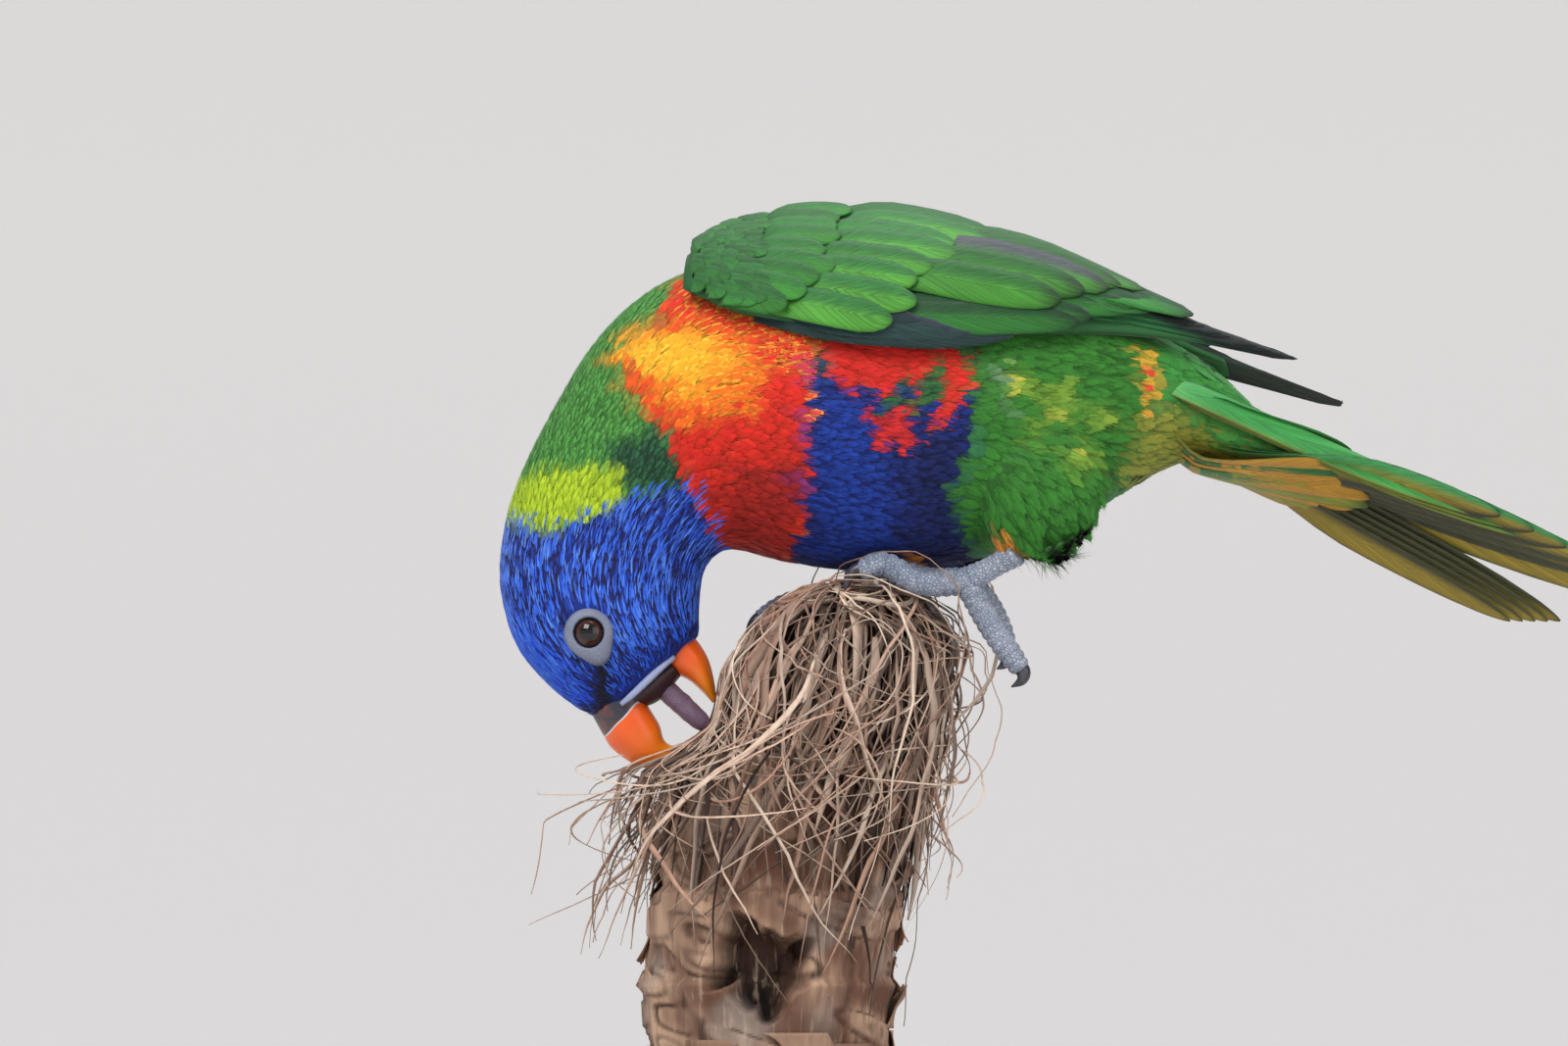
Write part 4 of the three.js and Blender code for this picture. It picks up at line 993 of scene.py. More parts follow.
vaneOutlines = {
    "round": vaneOutline([
        (0, 0.5), (0.25, 0.8), (0.5, 1), (0.68, 1), (0.8, 0.94), (0.89, 0.8), (0.955, 0.56), (0.99, 0.26),
        (1, 0.08),
    ]),
    "pointed": vaneOutline([
        (0, 0.08), (0.1, 0.45), (0.25, 0.86), (0.5, 1), (0.7, 0.96), (0.84, 0.8), (0.94, 0.5), (0.985, 0.24),
        (1, 0.06),
    ]),
    "long": vaneOutline([
        (0, 0.6), (0.2, 0.9), (0.4, 1), (0.6, 0.96), (0.75, 0.86), (0.86, 0.68), (0.94, 0.44), (0.985, 0.2),
        (1, 0.05),
    ]),
}


def wingSurface(side):
    stationRows = np.array(wing["stations"], float)
    shift = np.array(wing["tipShift"][side], float)
    spread = (np.linspace(0, 1, len(stationRows)) ** 2)[:, None] * shift

    def edge(columns, leastColumn, extraOut):
        rows = [
            (x, max(least, sideAt(x, z) + extraOut), z)
            for x, z, least in zip(*(stationRows[:, k] for k in (*columns, leastColumn)))
        ]
        return np.array(rows) + spread

    upper, lower = edge((0, 1), 4, 0), edge((2, 3), 5, wing["lift"])

    def face(u, v):
        top, low = curveAt(upper, u), curveAt(lower, u)
        chord = low - top
        tangent = curveAt(upper, np.clip(u + 0.01, 0, 1)) - curveAt(upper, np.clip(u - 0.01, 0, 1))
        out = unit(np.cross(chord, tangent))
        out = np.where(out[..., 1:2] < 0, -out, out)
        bulge = curveAt(stationRows[:, 6:7], u)[..., 0] * 4 * v * (1 - v)
        return top + chord * v[..., None] + out * bulge[..., None]

    def normal(u, v):
        along = face(np.clip(u + 0.01, 0, 1), v) - face(np.clip(u - 0.01, 0, 1), v)
        down = face(u, v + 0.01) - face(u, v - 0.01)
        out = unit(np.cross(along, down))
        return np.where((out[..., 1] + out[..., 2])[..., None] < 0, -out, out)

    return lambda u, v, lift: (face(u, v) + normal(u, v) * lift[..., None], normal(u, v))


# A closed vane along a spine, which is given at each row of the outline.
def growVane(points, normals, outline, half, tilt, thickness, mirrored):
    columns = np.linspace(-1, 1, 7)
    along = unit(np.gradient(points, axis=0))
    side = unit(np.cross(along, normals))
    up = unit(np.cross(side, along))
    side, up = rolled(side, up, tilt)
    width = outline[:, 1] * half
    thick = thickness * (1 - 0.8 * columns**2)[None, :, None]
    curve = (0.05 * half * (1 - columns**2))[None, :, None]
    flat = points[:, None] + side[:, None] * (width[:, None] * columns)[..., None]
    both = [flat + up[:, None] * (curve + thick / 2), flat + up[:, None] * (curve - thick / 2)]
    rows, cols = flat.shape[:2]
    faces = sheetFaces(rows, cols)
    made = np.vstack([b.reshape(-1, 3) for b in both])
    if mirrored:
        made = made * (1, -1, 1)
        faces = faces[:, ::-1]
    u = np.tile(np.tile(columns * 0.5 + 0.5, rows), 2)
    v = np.tile(np.repeat(outline[:, 0], cols), 2)
    return {"points": made, "faces": faces, "u": u, "v": v, "under": np.repeat([0.0, 1.0], rows * cols)}


# paint(vane, index) gives core, rim and rimFrom at each point, and place(index) its spot on the unwrap.
def joinVanes(name, vanes, paint, place, material):
    points, faces, extra, uv, core, rim, start = [], [], [], [], [], [], 0
    for index, one in enumerate(vanes):
        points.append(one["points"])
        faces.append(one["faces"] + start)
        extra.append(np.stack([one["u"], one["v"]], -1))
        patch = np.stack([one["u"] * 2 - 1 + one["under"] * 2.2, one["v"] * 2 - 1], -1) * 0.004
        uv.append(np.asarray(place(index)) + patch)
        c, r, f = paint(one, index)
        core.append(np.column_stack([c, np.full(len(c), (index * 0.37) % 1)]))
        rim.append(np.column_stack([r, f]))
        start += len(one["points"])
    piece = addMesh(
        name, np.vstack(points), np.vstack(faces), material, uv=np.vstack(uv), extra=np.vstack(extra),
        colours={"core": np.vstack(core), "rim": np.vstack(rim)},
    )
    print("  ", name, len(vanes), "vanes")
    return piece


# The wing's rows of feathers, from below up. root and tip are the first and last feather's (u, v) on
# the wing's face, half and lift their half widths and heights; dark is where the end colour begins.
wingTiers = {
    "primaries": {
        "count": 10, "root": [(0.4, 0.93), (0.46, 0.6)], "tip": [(1, 0.62), (0.74, 0.42)],
        "half": (2.7, 3.6), "lift": (-3.6, -0.9), "shape": "long",
        "outer": tone(30, 98, 46), "inner": tone(10, 14, 16), "edge": tone(30, 84, 74), "dark": 0.72,
        "end": tone(16, 20, 22),
    },
    "secondaries": {
        "count": 8, "root": [(0.27, 0.86), (0.33, 0.5)], "tip": [(0.6, 0.95), (0.79, 0.42)],
        "half": (4, 4.8), "lift": (-0.7, 0), "shape": "round",
        "outer": tone(40, 112, 40), "inner": tone(22, 70, 34), "edge": tone(16, 44, 28), "dark": 0.94,
    },
    "tertials": {
        "count": 5, "root": [(0.28, 0.52), (0.34, 0.1)], "tip": [(0.575, 0.8), (0.72, 0.2)],
        "half": (5.2, 6.2), "lift": (0.4, 0.9), "shape": "round",
        "outer": tone(60, 130, 38), "inner": tone(34, 96, 36), "edge": tone(14, 44, 24), "dark": 0.94,
        # the tertial at slateAt has its inner web painted slate grey: painted shade on that web
        "slateAt": 2,
    },
    "primaryCoverts": {
        "count": 4, "root": [(0.17, 0.98), (0.18, 0.84)], "tip": [(0.52, 1.05), (0.4, 0.92)],
        "half": (3, 3.4), "lift": (-1.4, -0.5), "shape": "long",
        # Their pale bluish-grey edge is partly the feathers' own edge and partly painted highlight.
        "outer": tone(26, 54, 54), "inner": tone(38, 46, 60), "edge": tone(66, 84, 94), "dark": 0.99,
    },
    "greaterCoverts": {
        "count": 8, "root": [(0.16, 0.86), (0.22, 0.06)], "tip": [(0.37, 0.93), (0.5, 0.12)],
        "half": (4.4, 5.6), "lift": (0.4, 0.8), "shape": "round",
        "outer": tone(70, 138, 46), "inner": tone(36, 100, 42), "edge": tone(16, 54, 26), "dark": 1.02,
    },
    "medianCoverts": {
        "count": 9, "root": [(0.08, 0.9), (0.12, 0.05)], "tip": [(0.25, 0.95), (0.33, 0.08)],
        "half": (3.6, 4.4), "lift": (0.8, 1.1), "shape": "round",
        "outer": tone(50, 124, 42), "inner": tone(38, 102, 42), "edge": tone(26, 78, 38), "dark": 1.05,
    },
}
smallCoverts = {
    "rows": 9, "gap": 2.0, "half": 1.9, "reach": 0.07, "lift": 1.15,
    "outer": tone(48, 116, 48), "inner": tone(38, 98, 44), "edge": tone(30, 84, 40), "dark": 1.1,
}


def wingCoreRings(surface):
    rings = []
    for share in np.linspace(0, 1, 34):
        u = np.full(13, 0.82 * share)
        v = np.linspace(0, 1, 13)
        sunk = -2.8 * smooth(0.06, 0.26, u) - 0.2
        outer = surface(u, v, sunk)[0]
        inner = surface(u, v, sunk - lerp(8, 1.2, share))[0]
        rings.append(np.vstack([outer, inner[::-1]]))
    return np.array(rings)


def buildWing(side, seed):
    rng = np.random.default_rng(seed)
    surface = wingSurface(side)
    mirrored = side == "left"
    vanes, owners, places = [], [], []

    def grow(u0, v0, u1, v1, half, lift, shape, tier):
        outline = vaneOutlines[shape]
        outline = outline + rng.normal(0, 0.02, (len(outline), 1)) * (0, 1)
        share = outline[:, 0]
        rise = lerp(-wing["sink"], lift, np.minimum(1, share * 2))
        points, normals = surface(lerp(u0, u1, share), lerp(v0, v1, share), rise)
        vanes.append(growVane(points, normals, outline, half, 0.13, wing["thickness"], mirrored))
        owners.append(tier)
        places.append((0.05 + 0.8 * u0, (0.05 if mirrored else 0.55) + 0.4 * v0))

    for tier in wingTiers.values():
        for i in range(tier["count"]):
            share = i / (tier["count"] - 1)
            (u0, v0), (u1, v1) = (
                [lerp(tier[end][0][k], tier[end][1][k], share) for k in (0, 1)] for end in ("root", "tip")
            )
            u1 = u1 + rng.normal(0, 0.011)
            v1 = v1 + rng.normal(0, 0.015)
            # That tertial's inner web is painted slate grey as painted shade.
            look = tier | {"inner": tone(70, 74, 80)} if i == tier.get("slateAt") else tier
            half, lift = lerp(*tier["half"], share), lerp(*tier["lift"], share)
            grow(u0, v0, u1, v1, half, lift, tier["shape"], look)
    small = smallCoverts
    for row in range(small["rows"]):
        u0 = 0.128 * (1 - row / (small["rows"] - 1))
        ends = surface(np.full(2, u0), np.array([0.0, 1.0]), np.zeros(2))[0]
        inRow = max(4, round(float(np.linalg.norm(ends[1] - ends[0])) / small["gap"]))
        for i in range(inRow):
            v0 = np.clip((i + 0.5 * (row % 2) + rng.normal(0, 0.25)) / inRow, 0.02, 0.98)
            u1 = max(u0 + rng.normal(0, 0.006), 0)
            lift = small["lift"] + 0.06 * row + rng.normal(0, 0.05)
            grow(u1, v0, u1 + small["reach"], v0 * 0.97 + 0.01, small["half"], lift, "round", small)

    def paint(one, index):
        tier = owners[index]
        w = (one["u"] * 2 - 1) * (-1 if mirrored else 1)
        inner = smooth(-0.1, 0.5, -w)[:, None]
        core = lerp(tier["outer"], tier["inner"], inner)
        atEnd = smooth(tier["dark"] - 0.1, tier["dark"] + 0.12, one["v"])[:, None]
        core = lerp(core, tier.get("end", tier["edge"] * 0.5), atEnd)
        core = lerp(core, tone(60, 62, 58), one["under"][:, None] * 0.8)
        core = core * rng.uniform(0.74, 1.16)
        rim = np.tile(tier["edge"], (len(w), 1))
        return core, rim * 0.7, np.full(len(w), 0.9)

    piece = joinVanes("wingVanes_" + side, vanes, paint, lambda i: places[i], wingFinish)
    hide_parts("wing_" + side)
    rings = wingCoreRings(surface)
    if mirrored:
        rings = (rings * (1, -1, 1))[:, ::-1]
    points, faces = joinTubes([rings])
    count = len(points)
    colour = np.tile(tone(34, 88, 44), (count, 1))
    uv = np.stack([points[:, 0], points[:, 2] + 60 * mirrored], -1) * 0.003 + 0.1
    corePiece = addMesh(
        "wingCore_" + side, points, faces, wingFinish, uv=uv, extra=np.full((count, 2), 0.5),
        colours={"core": colour, "rim": np.column_stack([colour, np.full(count, 2)])},
    )


print("stage: wings")
wingFinish = feathers("wingVanes", 0.6, 52, 1.5, 0.8)
buildWing("left", 5)
buildWing("right", 6)


# Tail

tailSet = {"pairs": 6, "layer": 0.95, "step": 0.075, "sink": 5, "thickness": 0.2, "covers": (24, 34, 46)}
tailTones = {
    "top": tone(62, 146, 84), "topEdge": tone(32, 96, 66), "under": tone(146, 128, 46),
    "underDark": tone(62, 64, 42), "tip": tone(34, 50, 44), "strip": tone(66, 150, 84),
}


def tailSpine(side, i):  # the tail's long feathers; those of the left side spread
    spread = side < 0 and i > 0
    length = tail["length"] * ((0.85 if spread else 1) - (0.024 if spread else tailSet["step"]) * i)
    fan = 0.15 + 0.003 * i if spread else 0.016 * i
    height = 1.2 - tailSet["layer"] * (i + (0.5 if side < 0 else 0))
    share = vaneOutlines["long"][:, 0]
    s = lerp(tailSet["sink"], length, share)
    first = 0.8 + i * (0.75 if spread else 1)
    points = tailPoint(s, side * (first + (s - tailSet["sink"]) * fan), np.full(len(s), height))
    return points, tailFrame(s)[1]


def coverSpine(share, under, longest):  # short feathers over and under the tail's root
    part = vaneOutlines["pointed"][:, 0]
    length = lerp(longest, longest * 0.68, abs(share - 0.5) * 2)
    s = lerp(-14, length, part)
    outside = lerp(10.2, 3 if under else 2.4, smooth(-6, 44, s)) * (1 - 0.5 * abs(share - 0.5))
    outside = outside - 7 * smooth(3, -14, s)
    up = tailFrame(s)[1]
    flip = -1 if under else 1
    return tailPoint(s, np.full(len(s), lerp(-8.5, 8.5, share)), flip * outside), up * flip


def sideSpine(row):  # long outer feathers that leave the body beside the vent
    path = [(84, -9, 191), (96, -12.6, 187), (118, -10.6, 177.6), (142, -8.4, 167.4), (168, -7.2, 157.6)]
    points = curveAt(np.array(path) + (2.5 * row, 0.6 * row, -1.9 * row), vaneOutlines["pointed"][:, 0])
    return points, np.tile(unit(np.array([-0.1, -1, 0.35])), (len(points), 1))


def buildTail():
    rng = np.random.default_rng(9)
    vanes, kinds = [], []

    def grow(spine, shape, half, tilt, kind, value):
        vanes.append(growVane(*spine, vaneOutlines[shape], half, tilt, tailSet["thickness"], False))
        kinds.append((kind, value))

    for i in range(tailSet["pairs"]):
        for side in (-1, 1):
            half = 5.4 - 0.3 * i if side < 0 and i > 0 else 6.6 - 0.25 * i
            grow(tailSpine(side, i), "long", half, 0, "feather", side)
    for row in range(3):
        grow(sideSpine(row), "pointed", 3.2 - 0.5 * row, 0.2, "side", row)
    for kind in ("over", "under"):
        for longest in tailSet["covers"]:
            for share in np.linspace(0, 1, 8):
                spine = coverSpine(share, kind == "under", longest + rng.normal(0, 2))
                grow(spine, "pointed", 3.8, 0.1, kind, share)

    def paint(one, index):
        kind, value = kinds[index]
        w = one["u"] * 2 - 1
        tip = smooth(0.86, 1.05, one["v"])[:, None]
        if kind == "feather":
            top = lerp(tailTones["top"], tailTones["tip"], tip * 0.6)
            dark = smooth(0.15, 0.6, -w * value)[:, None]
            under = lerp(tailTones["under"], tailTones["underDark"], dark)
            if value > 0:
                under = lerp(under, tailTones["strip"], smooth(0.15, 0.5, w)[:, None])
            core = lerp(top, under, one["under"][:, None])
            rim = lerp(tailTones["topEdge"], tailTones["underDark"], one["under"][:, None])
        elif kind == "side":
            core = lerp(tone(112, 178, 116), tone(56, 140, 68), smooth(0.02, 0.35, one["v"])[:, None])
            core = lerp(core, tone(128, 122, 48), smooth(0.3, 0.8, w if value else w - 0.3)[:, None] * 0.8)
            rim = core * 0.6
        elif kind == "over":
            core = np.tile(tone(58, 140, 60), (len(w), 1))
            rim = np.tile(tone(34, 100, 46), (len(w), 1))
        else:
            hue = rng.choice(["green", "olive", "ochre"], p=[0.3, 0.3, 0.4])
            hues = {"green": tone(44, 104, 40), "olive": tone(132, 138, 42), "ochre": tone(176, 130, 36)}
            core = lerp(hues[hue], tone(30, 76, 34), tip * (hue != "ochre"))
            rim = np.tile(tone(70, 86, 36), (len(w), 1))
        return core * rng.uniform(0.88, 1.1), rim, np.full(len(w), 0.84)

    place = lambda i: (0.06 + 0.03 * (i % 30), 0.3 + 0.2 * (i // 30))
    piece = joinVanes("tailVanes", vanes, paint, place, wingFinish)
    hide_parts("tail")


print("stage: tail")
buildTail()


# Bill, mouth and eyes

billSides = 40
billShapes = {  # ridge and cutting edge in the mid-plane as (x, z), and half widths
    "billUpper": {
        "node": "bill_upper",
        "ridge": [
            (-41, 112.5), (-38.4, 107.9), (-36.2, 104.6), (-30.8, 100.9), (-25.6, 100.2), (-21, 101.3),
            (-17.8, 103.4),
        ],
        "edge": [
            (-30.5, 120.5), (-29.3, 116.8), (-27.3, 113.4), (-25.4, 110.2), (-24.2, 106.6), (-21.2, 104.9),
            (-17.9, 104.3),
        ],
        "half": [5.8, 6.2, 6.2, 5.4, 4, 2.3, 0.4],
    },
    "billLower": {
        "node": "bill_lower",
        "ridge": [(-19.5, 132.4), (-16.4, 129.4), (-14, 125.2), (-12.7, 120), (-12.2, 115.8)],
        "edge": [(-25.5, 125.5), (-22.4, 122.6), (-18.6, 120.6), (-15.6, 118), (-13.2, 115.4)],
        "half": [5.2, 5.6, 5, 3.6, 0.9],
    },
}


def billFinish():
    s = Shade("bill")
    hue = s.layer("core")
    grain = s.noise(220, 5, (1, 1, 1), 0.6)
    fine = s.noise(1500, 3)
    colour = s.mix(s.step(grain, 0.4, 0.75) * 0.25, hue, tone(220, 92, 16))
    return s.finish(
        Base_Color=colour,
        Roughness=grain * 0.22 + 0.24,
        Normal=s.bump(grain + fine * 0.3, 0.35, 0.0002),
        Subsurface_Weight=0.15,
        Subsurface_Scale=0.003,
        Coat_Weight=0.15,
        Coat_Roughness=0.3,
    )


def buildBill():
    material = billFinish()
    for name, shape in billShapes.items():
        t = np.sort(np.append(np.linspace(0, 1, 41), np.linspace(0.14, 0.23, 31)))
        ridge, edge = curveAt(shape["ridge"], t), curveAt(shape["edge"], t)
        half = curveAt(np.array(shape["half"], float)[:, None], t)[:, 0]
        angle = around(billSides)
        middle, reach = (ridge + edge) / 2, (ridge - edge) / 2
        high = np.sign(np.cos(angle)) * np.abs(np.cos(angle)) ** 0.9
        wide = np.sign(np.sin(angle)) * np.abs(np.sin(angle)) ** 0.85
        pinch = 1 - 0.22 * smooth(0.3, 1, np.cos(angle))
        x = middle[:, :1] + reach[:, :1] * high
        z = middle[:, 1:] + reach[:, 1:] * high
        y = half[:, None] * wide * pinch
        rings = np.stack([x, y, z], -1)
        points, faces = joinTubes([rings])
        along = np.repeat(t, len(angle))[:, None]
        colour = lerp(tone(236, 92, 8), tone(248, 152, 26), smooth(0.25, 0.95, along))
        if name == "billUpper":
            shift = along + 0.01 * wobble(points, 3, 5)[:, None]
            colour = lerp(colour, tone(206, 202, 206), smooth(0.197, 0.191, shift))
            colour = lerp(colour, tone(50, 50, 60), smooth(0.181, 0.175, shift))
        piece = addMesh(name, points, faces, material, colours={"core": colour})
        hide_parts(shape["node"])
    path = [(-26.6, 0, 120.9), (-24.6, 0, 119), (-20.2, 0, 115), (-16, 0, 111.2), (-14, 0, 109.8)]
    sizes = [(2.2, 2.6), (2.5, 3), (2.5, 3), (2.2, 2.6), (1.2, 1.5)]
    points, faces = joinTubes([sweepRings(path, sizes, sides=24, steps=30)])
    points += unit(points - points.mean(0)) * (wobble(points, 1.6, 4) * 0.14)[:, None]
    tongueSkin = bareSkin("tongueSkin", tone(128, 106, 130), tone(88, 70, 92), 1800, 0.4, 0.3)
    tongue = addMesh("tonguePiece", points, faces, tongueSkin)
    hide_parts("tongue")


def buildMouth():
    lining = bareSkin("mouthLining", tone(58, 36, 42), tone(28, 16, 22), 900, 0.45, 0.2)
    path = [(-31.5, 0, 116), (-27.5, 0, 119.2), (-22, 0, 123.5)]
    points, faces = joinTubes([sweepRings(path, [(2.6, 4.6), (3.8, 6), (2.4, 4.4)], sides=28, steps=20)])
    addMesh("mouthLining", points, faces, lining)
    pale = bareSkin("gapeSkin", tone(164, 178, 214), tone(110, 122, 170), 1800, 0.5, 0.25)
    path = np.array([
        (-34.2, 6.4, 114.8), (-31.6, 7.3, 117.0), (-28.2, 7.9, 120.2), (-25.2, 7.7, 123.0), (-22, 6.2, 125.8),
    ])
    sizes = [(0.5, 0.6), (0.6, 0.8), (0.7, 0.9), (0.8, 0.8), (0.5, 0.6)]
    for side, ending in ((-1, "left"), (1, "right")):
        points, faces = joinTubes([sweepRings(path * (1, side, 1), sizes, (0.6, 0, -0.8))])
        addMesh("gape_" + ending, points, faces, pale)


eyeRing = [  # radius, and height over the head's side
    (3.4, -1.2), (3.5, -0.2), (3.62, 0.42), (3.9, 0.7), (4.3, 0.5),
    (4.7, 0.35), (5.1, 0.12), (5.5, -0.35), (5.8, -1.4), (4.6, -2.4),
]


def eyeFinish():
    s = Shade("eyeGlass")
    value = s.add("SeparateColor", None, {0: s.layer("core")})
    colour = s.ramp(
        value, (0, (0.001, 0.001, 0.001)), (0.48, (0.002, 0.001, 0.001)), (0.53, tone(44, 18, 12)),
        (0.7, tone(66, 30, 20)), (0.8, tone(34, 14, 12)), (0.86, (0.003, 0.002, 0.002)),
    )
    return s.finish(
        Base_Color=colour, Roughness=0.1, Specular_IOR_Level=0.3, Coat_Weight=0.5, Coat_Roughness=0.02,
    )


def buildEyes():
    glass = eyeFinish()
    ringSkin = bareSkin("eyeRingSkin", tone(132, 140, 162), tone(84, 92, 118), 2200, 0.55, 0.4)
    sides = 48
    turn = around(sides)
    polar = np.linspace(0, math.pi, 33)[1:-1]
    for side in (-1, 1):
        centre = np.array([eyePlace["x"], side * (eyeOut - eyePlace["depth"]), eyePlace["z"]])
        rings = []
        for angle in polar:
            r, h = eyePlace["radius"] * math.sin(angle), eyePlace["radius"] * math.cos(angle)
            x, y, z = r * np.cos(turn), np.full(sides, side * h), -side * r * np.sin(turn)
            rings.append(centre + np.stack([x, y, z], -1))
        points, faces = joinTubes([np.array(rings)])
        span = np.repeat(np.sin(polar) * np.where(polar < math.pi / 2, 1, 2), sides)
        colours = {"core": np.repeat(span[:, None], 3, 1)}
        name = "left" if side < 0 else "right"
        eye = addMesh("eyeball_" + name, points, faces, glass, colours=colours)
        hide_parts("eye_" + name)
        rings = []
        for r, h in eyeRing:
            corner = np.exp(-(np.angle(np.exp(1j * (turn - 1.15))) / 0.5) ** 2)
            stretch = 1 + 0.36 * corner * max(0, (r - 3.9) / 1.7)
            x = eyePlace["x"] + r * stretch * np.cos(turn)
            z = eyePlace["z"] - r * stretch * np.sin(turn)
            y = np.array([sideAt(px, pz) for px, pz in zip(x, z)]) * 0.35 + eyeOut * 0.65 + h
            rings.append(np.stack([x, side * y, z], -1))
        rings = np.array(rings)[:, ::-side]
        points, faces = joinTubes([rings])
        points = points + wobble(points, 1.1, 8)[:, None] * 0.06 * np.array([0, side, 0])
        ring = addMesh("eyeRing_" + name, points, faces[:1], ringSkin)


print("stage: face")
buildBill()
buildMouth()
buildEyes()


# Feet and claws

def footFinish():
    s = Shade("footScales")
    hue = s.layer("core")
    cells = s.edges(1250)
    grain = s.noise(400, 4)
    colour = s.mix(s.step(cells, 0.0, 0.14) * 0.5 + 0.5, tone(84, 90, 106), hue)
    colour = s.mix(s.step(grain, 0.45, 0.8) * 0.5, colour, tone(196, 200, 210))
    return s.finish(
        Base_Color=colour,
        Roughness=grain * 0.2 + 0.45,
        Normal=s.bump(s.step(cells, 0, 0.2) + grain * 0.4, 0.8, 0.0004),
        Specular_IOR_Level=0.4,
    )


def clawFinish():
    s = Shade("clawHorn")
    grain = s.noise(500, 4, (1, 1, 0.3))
    colour = s.mix(s.step(grain, 0.35, 0.7), tone(34, 34, 42), tone(64, 64, 76))
    return s.finish(
        Base_Color=colour, Roughness=grain * 0.2 + 0.25, Normal=s.bump(grain, 0.3, 0.0002), Coat_Weight=0.2,
    )


def scaled(rings, pitch, depth):  # scutes across the upper side of a toe
    centre = rings.mean(1, keepdims=True)
    run = np.concatenate([[0], np.cumsum(np.linalg.norm(np.diff(centre[:, 0], axis=0), axis=1))])
    wave = np.abs(np.sin(run * math.pi / pitch)) ** 0.6
    return centre + (rings - centre) * (1 - depth + depth * 1.6 * wave[:, None, None])


def buildFeet():
    skinFinish, horn = footFinish(), clawFinish()
    for name, leg in legs.items():
        hub, shank = np.array(leg["hub"]), np.array(leg["shank"])
        sizes = [(2.9, 2.9), (2.6, 2.7), (3.2, 3.2), (2.6, 2.6)]
        past = hub + (hub - shank) * 0.12
        path = [shank, (shank + hub) / 2, hub, past]
        tubes = [scaled(sweepRings(path, sizes, sides=20, steps=60), 1.8, 0.07)]
        for toe in leg["toes"]:
            sizes = [(3.1, 3.1), (2.8, 2.9), (2.75, 2.8), (2.3, 2.3), (1.5, 1.5)]
            end = np.array(toe[2]) + unit(np.array(toe[2]) - np.array(toe[1])) * 0.9
            tubes.append(scaled(sweepRings([hub, *toe[:3], end], sizes, sides=20, steps=100), 2.0, 0.1))
        sizes = [(0.4, 0.4), (3.7, 3.7), (0.4, 0.4)]
        ball = sweepRings([hub + (0, 0, 3.4), hub, hub - (0, 0, 3.4)], sizes, sides=20, steps=12)
        points, faces = joinTubes([*tubes, ball])
        shade = (0.5 + 0.5 * wobble(points, 6, 2))[:, None]
        colour = lerp(tone(134, 146, 168), tone(170, 180, 198), np.clip(shade, 0, 1))
        foot = addMesh("foot_skin_" + name, points, faces, skinFinish, colours={"core": colour})
        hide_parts("foot_" + name)
        for i, toe in enumerate(leg["toes"]):
            root, tip = np.array(toe[2]), np.array(toe[3])
            out = unit(root - np.array(toe[1]))
            path = [root - out * 0.6, root + out * 1.5, lerp(root + out * 2.9, tip, 0.35), tip]
            sizes = [(1.9, 1.6), (1.75, 1.45), (1.2, 1.0), (0.15, 0.15)]
            points, faces = joinTubes([sweepRings(path, sizes, sides=16, steps=20)])
            claw = addMesh(f"clawHorn_{name}_{i + 1}", points, faces, horn)
            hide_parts(f"claw_{name}_{i + 1}")


print("stage: feet")
buildFeet()


# Palm stem and its frayed crown

stemRows = [  # height, middle's x and radius
    (32, 0, 28.2), (45, 0.2, 28.6), (50, 0.4, 29.8), (52, 0.5, 28.4), (64, 1.4, 28.9), (71, 2.4, 30),
    (73, 2.8, 28.4), (88, 5, 28.8), (99, 6.6, 27.6),
]
crownMiddle = [  # height and middle's x
    (99.3, 6.8), (107, 9), (114, 11.5), (124, 13), (131, 14.5), (137, 15.5), (140, 17), (141.3, 18),
]


stemSet = {"rings": 150, "sides": 260}
hollowPlace = {"angle": 4.6, "z": 54, "halfAngle": 0.48, "halfHeight": 11, "depth": 10}
flakeSet = {"count": 34, "rows": 9, "thickness": 0.35, "lowest": 32.6}


def barkFinish():
    s = Shade("stemBark")
    hue = s.layer("core")
    streaks = s.noise(90, 6, (1, 1, 0.25), 0.8)
    fine = s.noise(600, 4, (1, 1, 0.12), 0.3)
    colour = s.mix(s.step(streaks, 0.35, 0.7) * 0.6, hue, tone(92, 64, 50))
    colour = s.mix(s.step(fine, 0.55, 0.75) * 0.35, colour, tone(206, 184, 160))
    return s.finish(
        Base_Color=colour,
        Roughness=fine * 0.2 + 0.68,
        Normal=s.bump(streaks + fine * 0.6, 0.9, 0.0012),
        Specular_IOR_Level=0.25,
    )


def fibreFinish():
    s = Shade("frayedFibre")
    hue = s.layer("core")
    grain = s.noise(700, 4, (1, 1, 0.2))
    colour = s.mix(s.step(grain, 0.4, 0.7) * 0.25, hue, tone(96, 66, 52))
    return s.finish(
        Base_Color=colour, Roughness=grain * 0.2 + 0.6,
        Normal=s.bump(grain, 0.6, 0.0003), Specular_IOR_Level=0.3,
    )


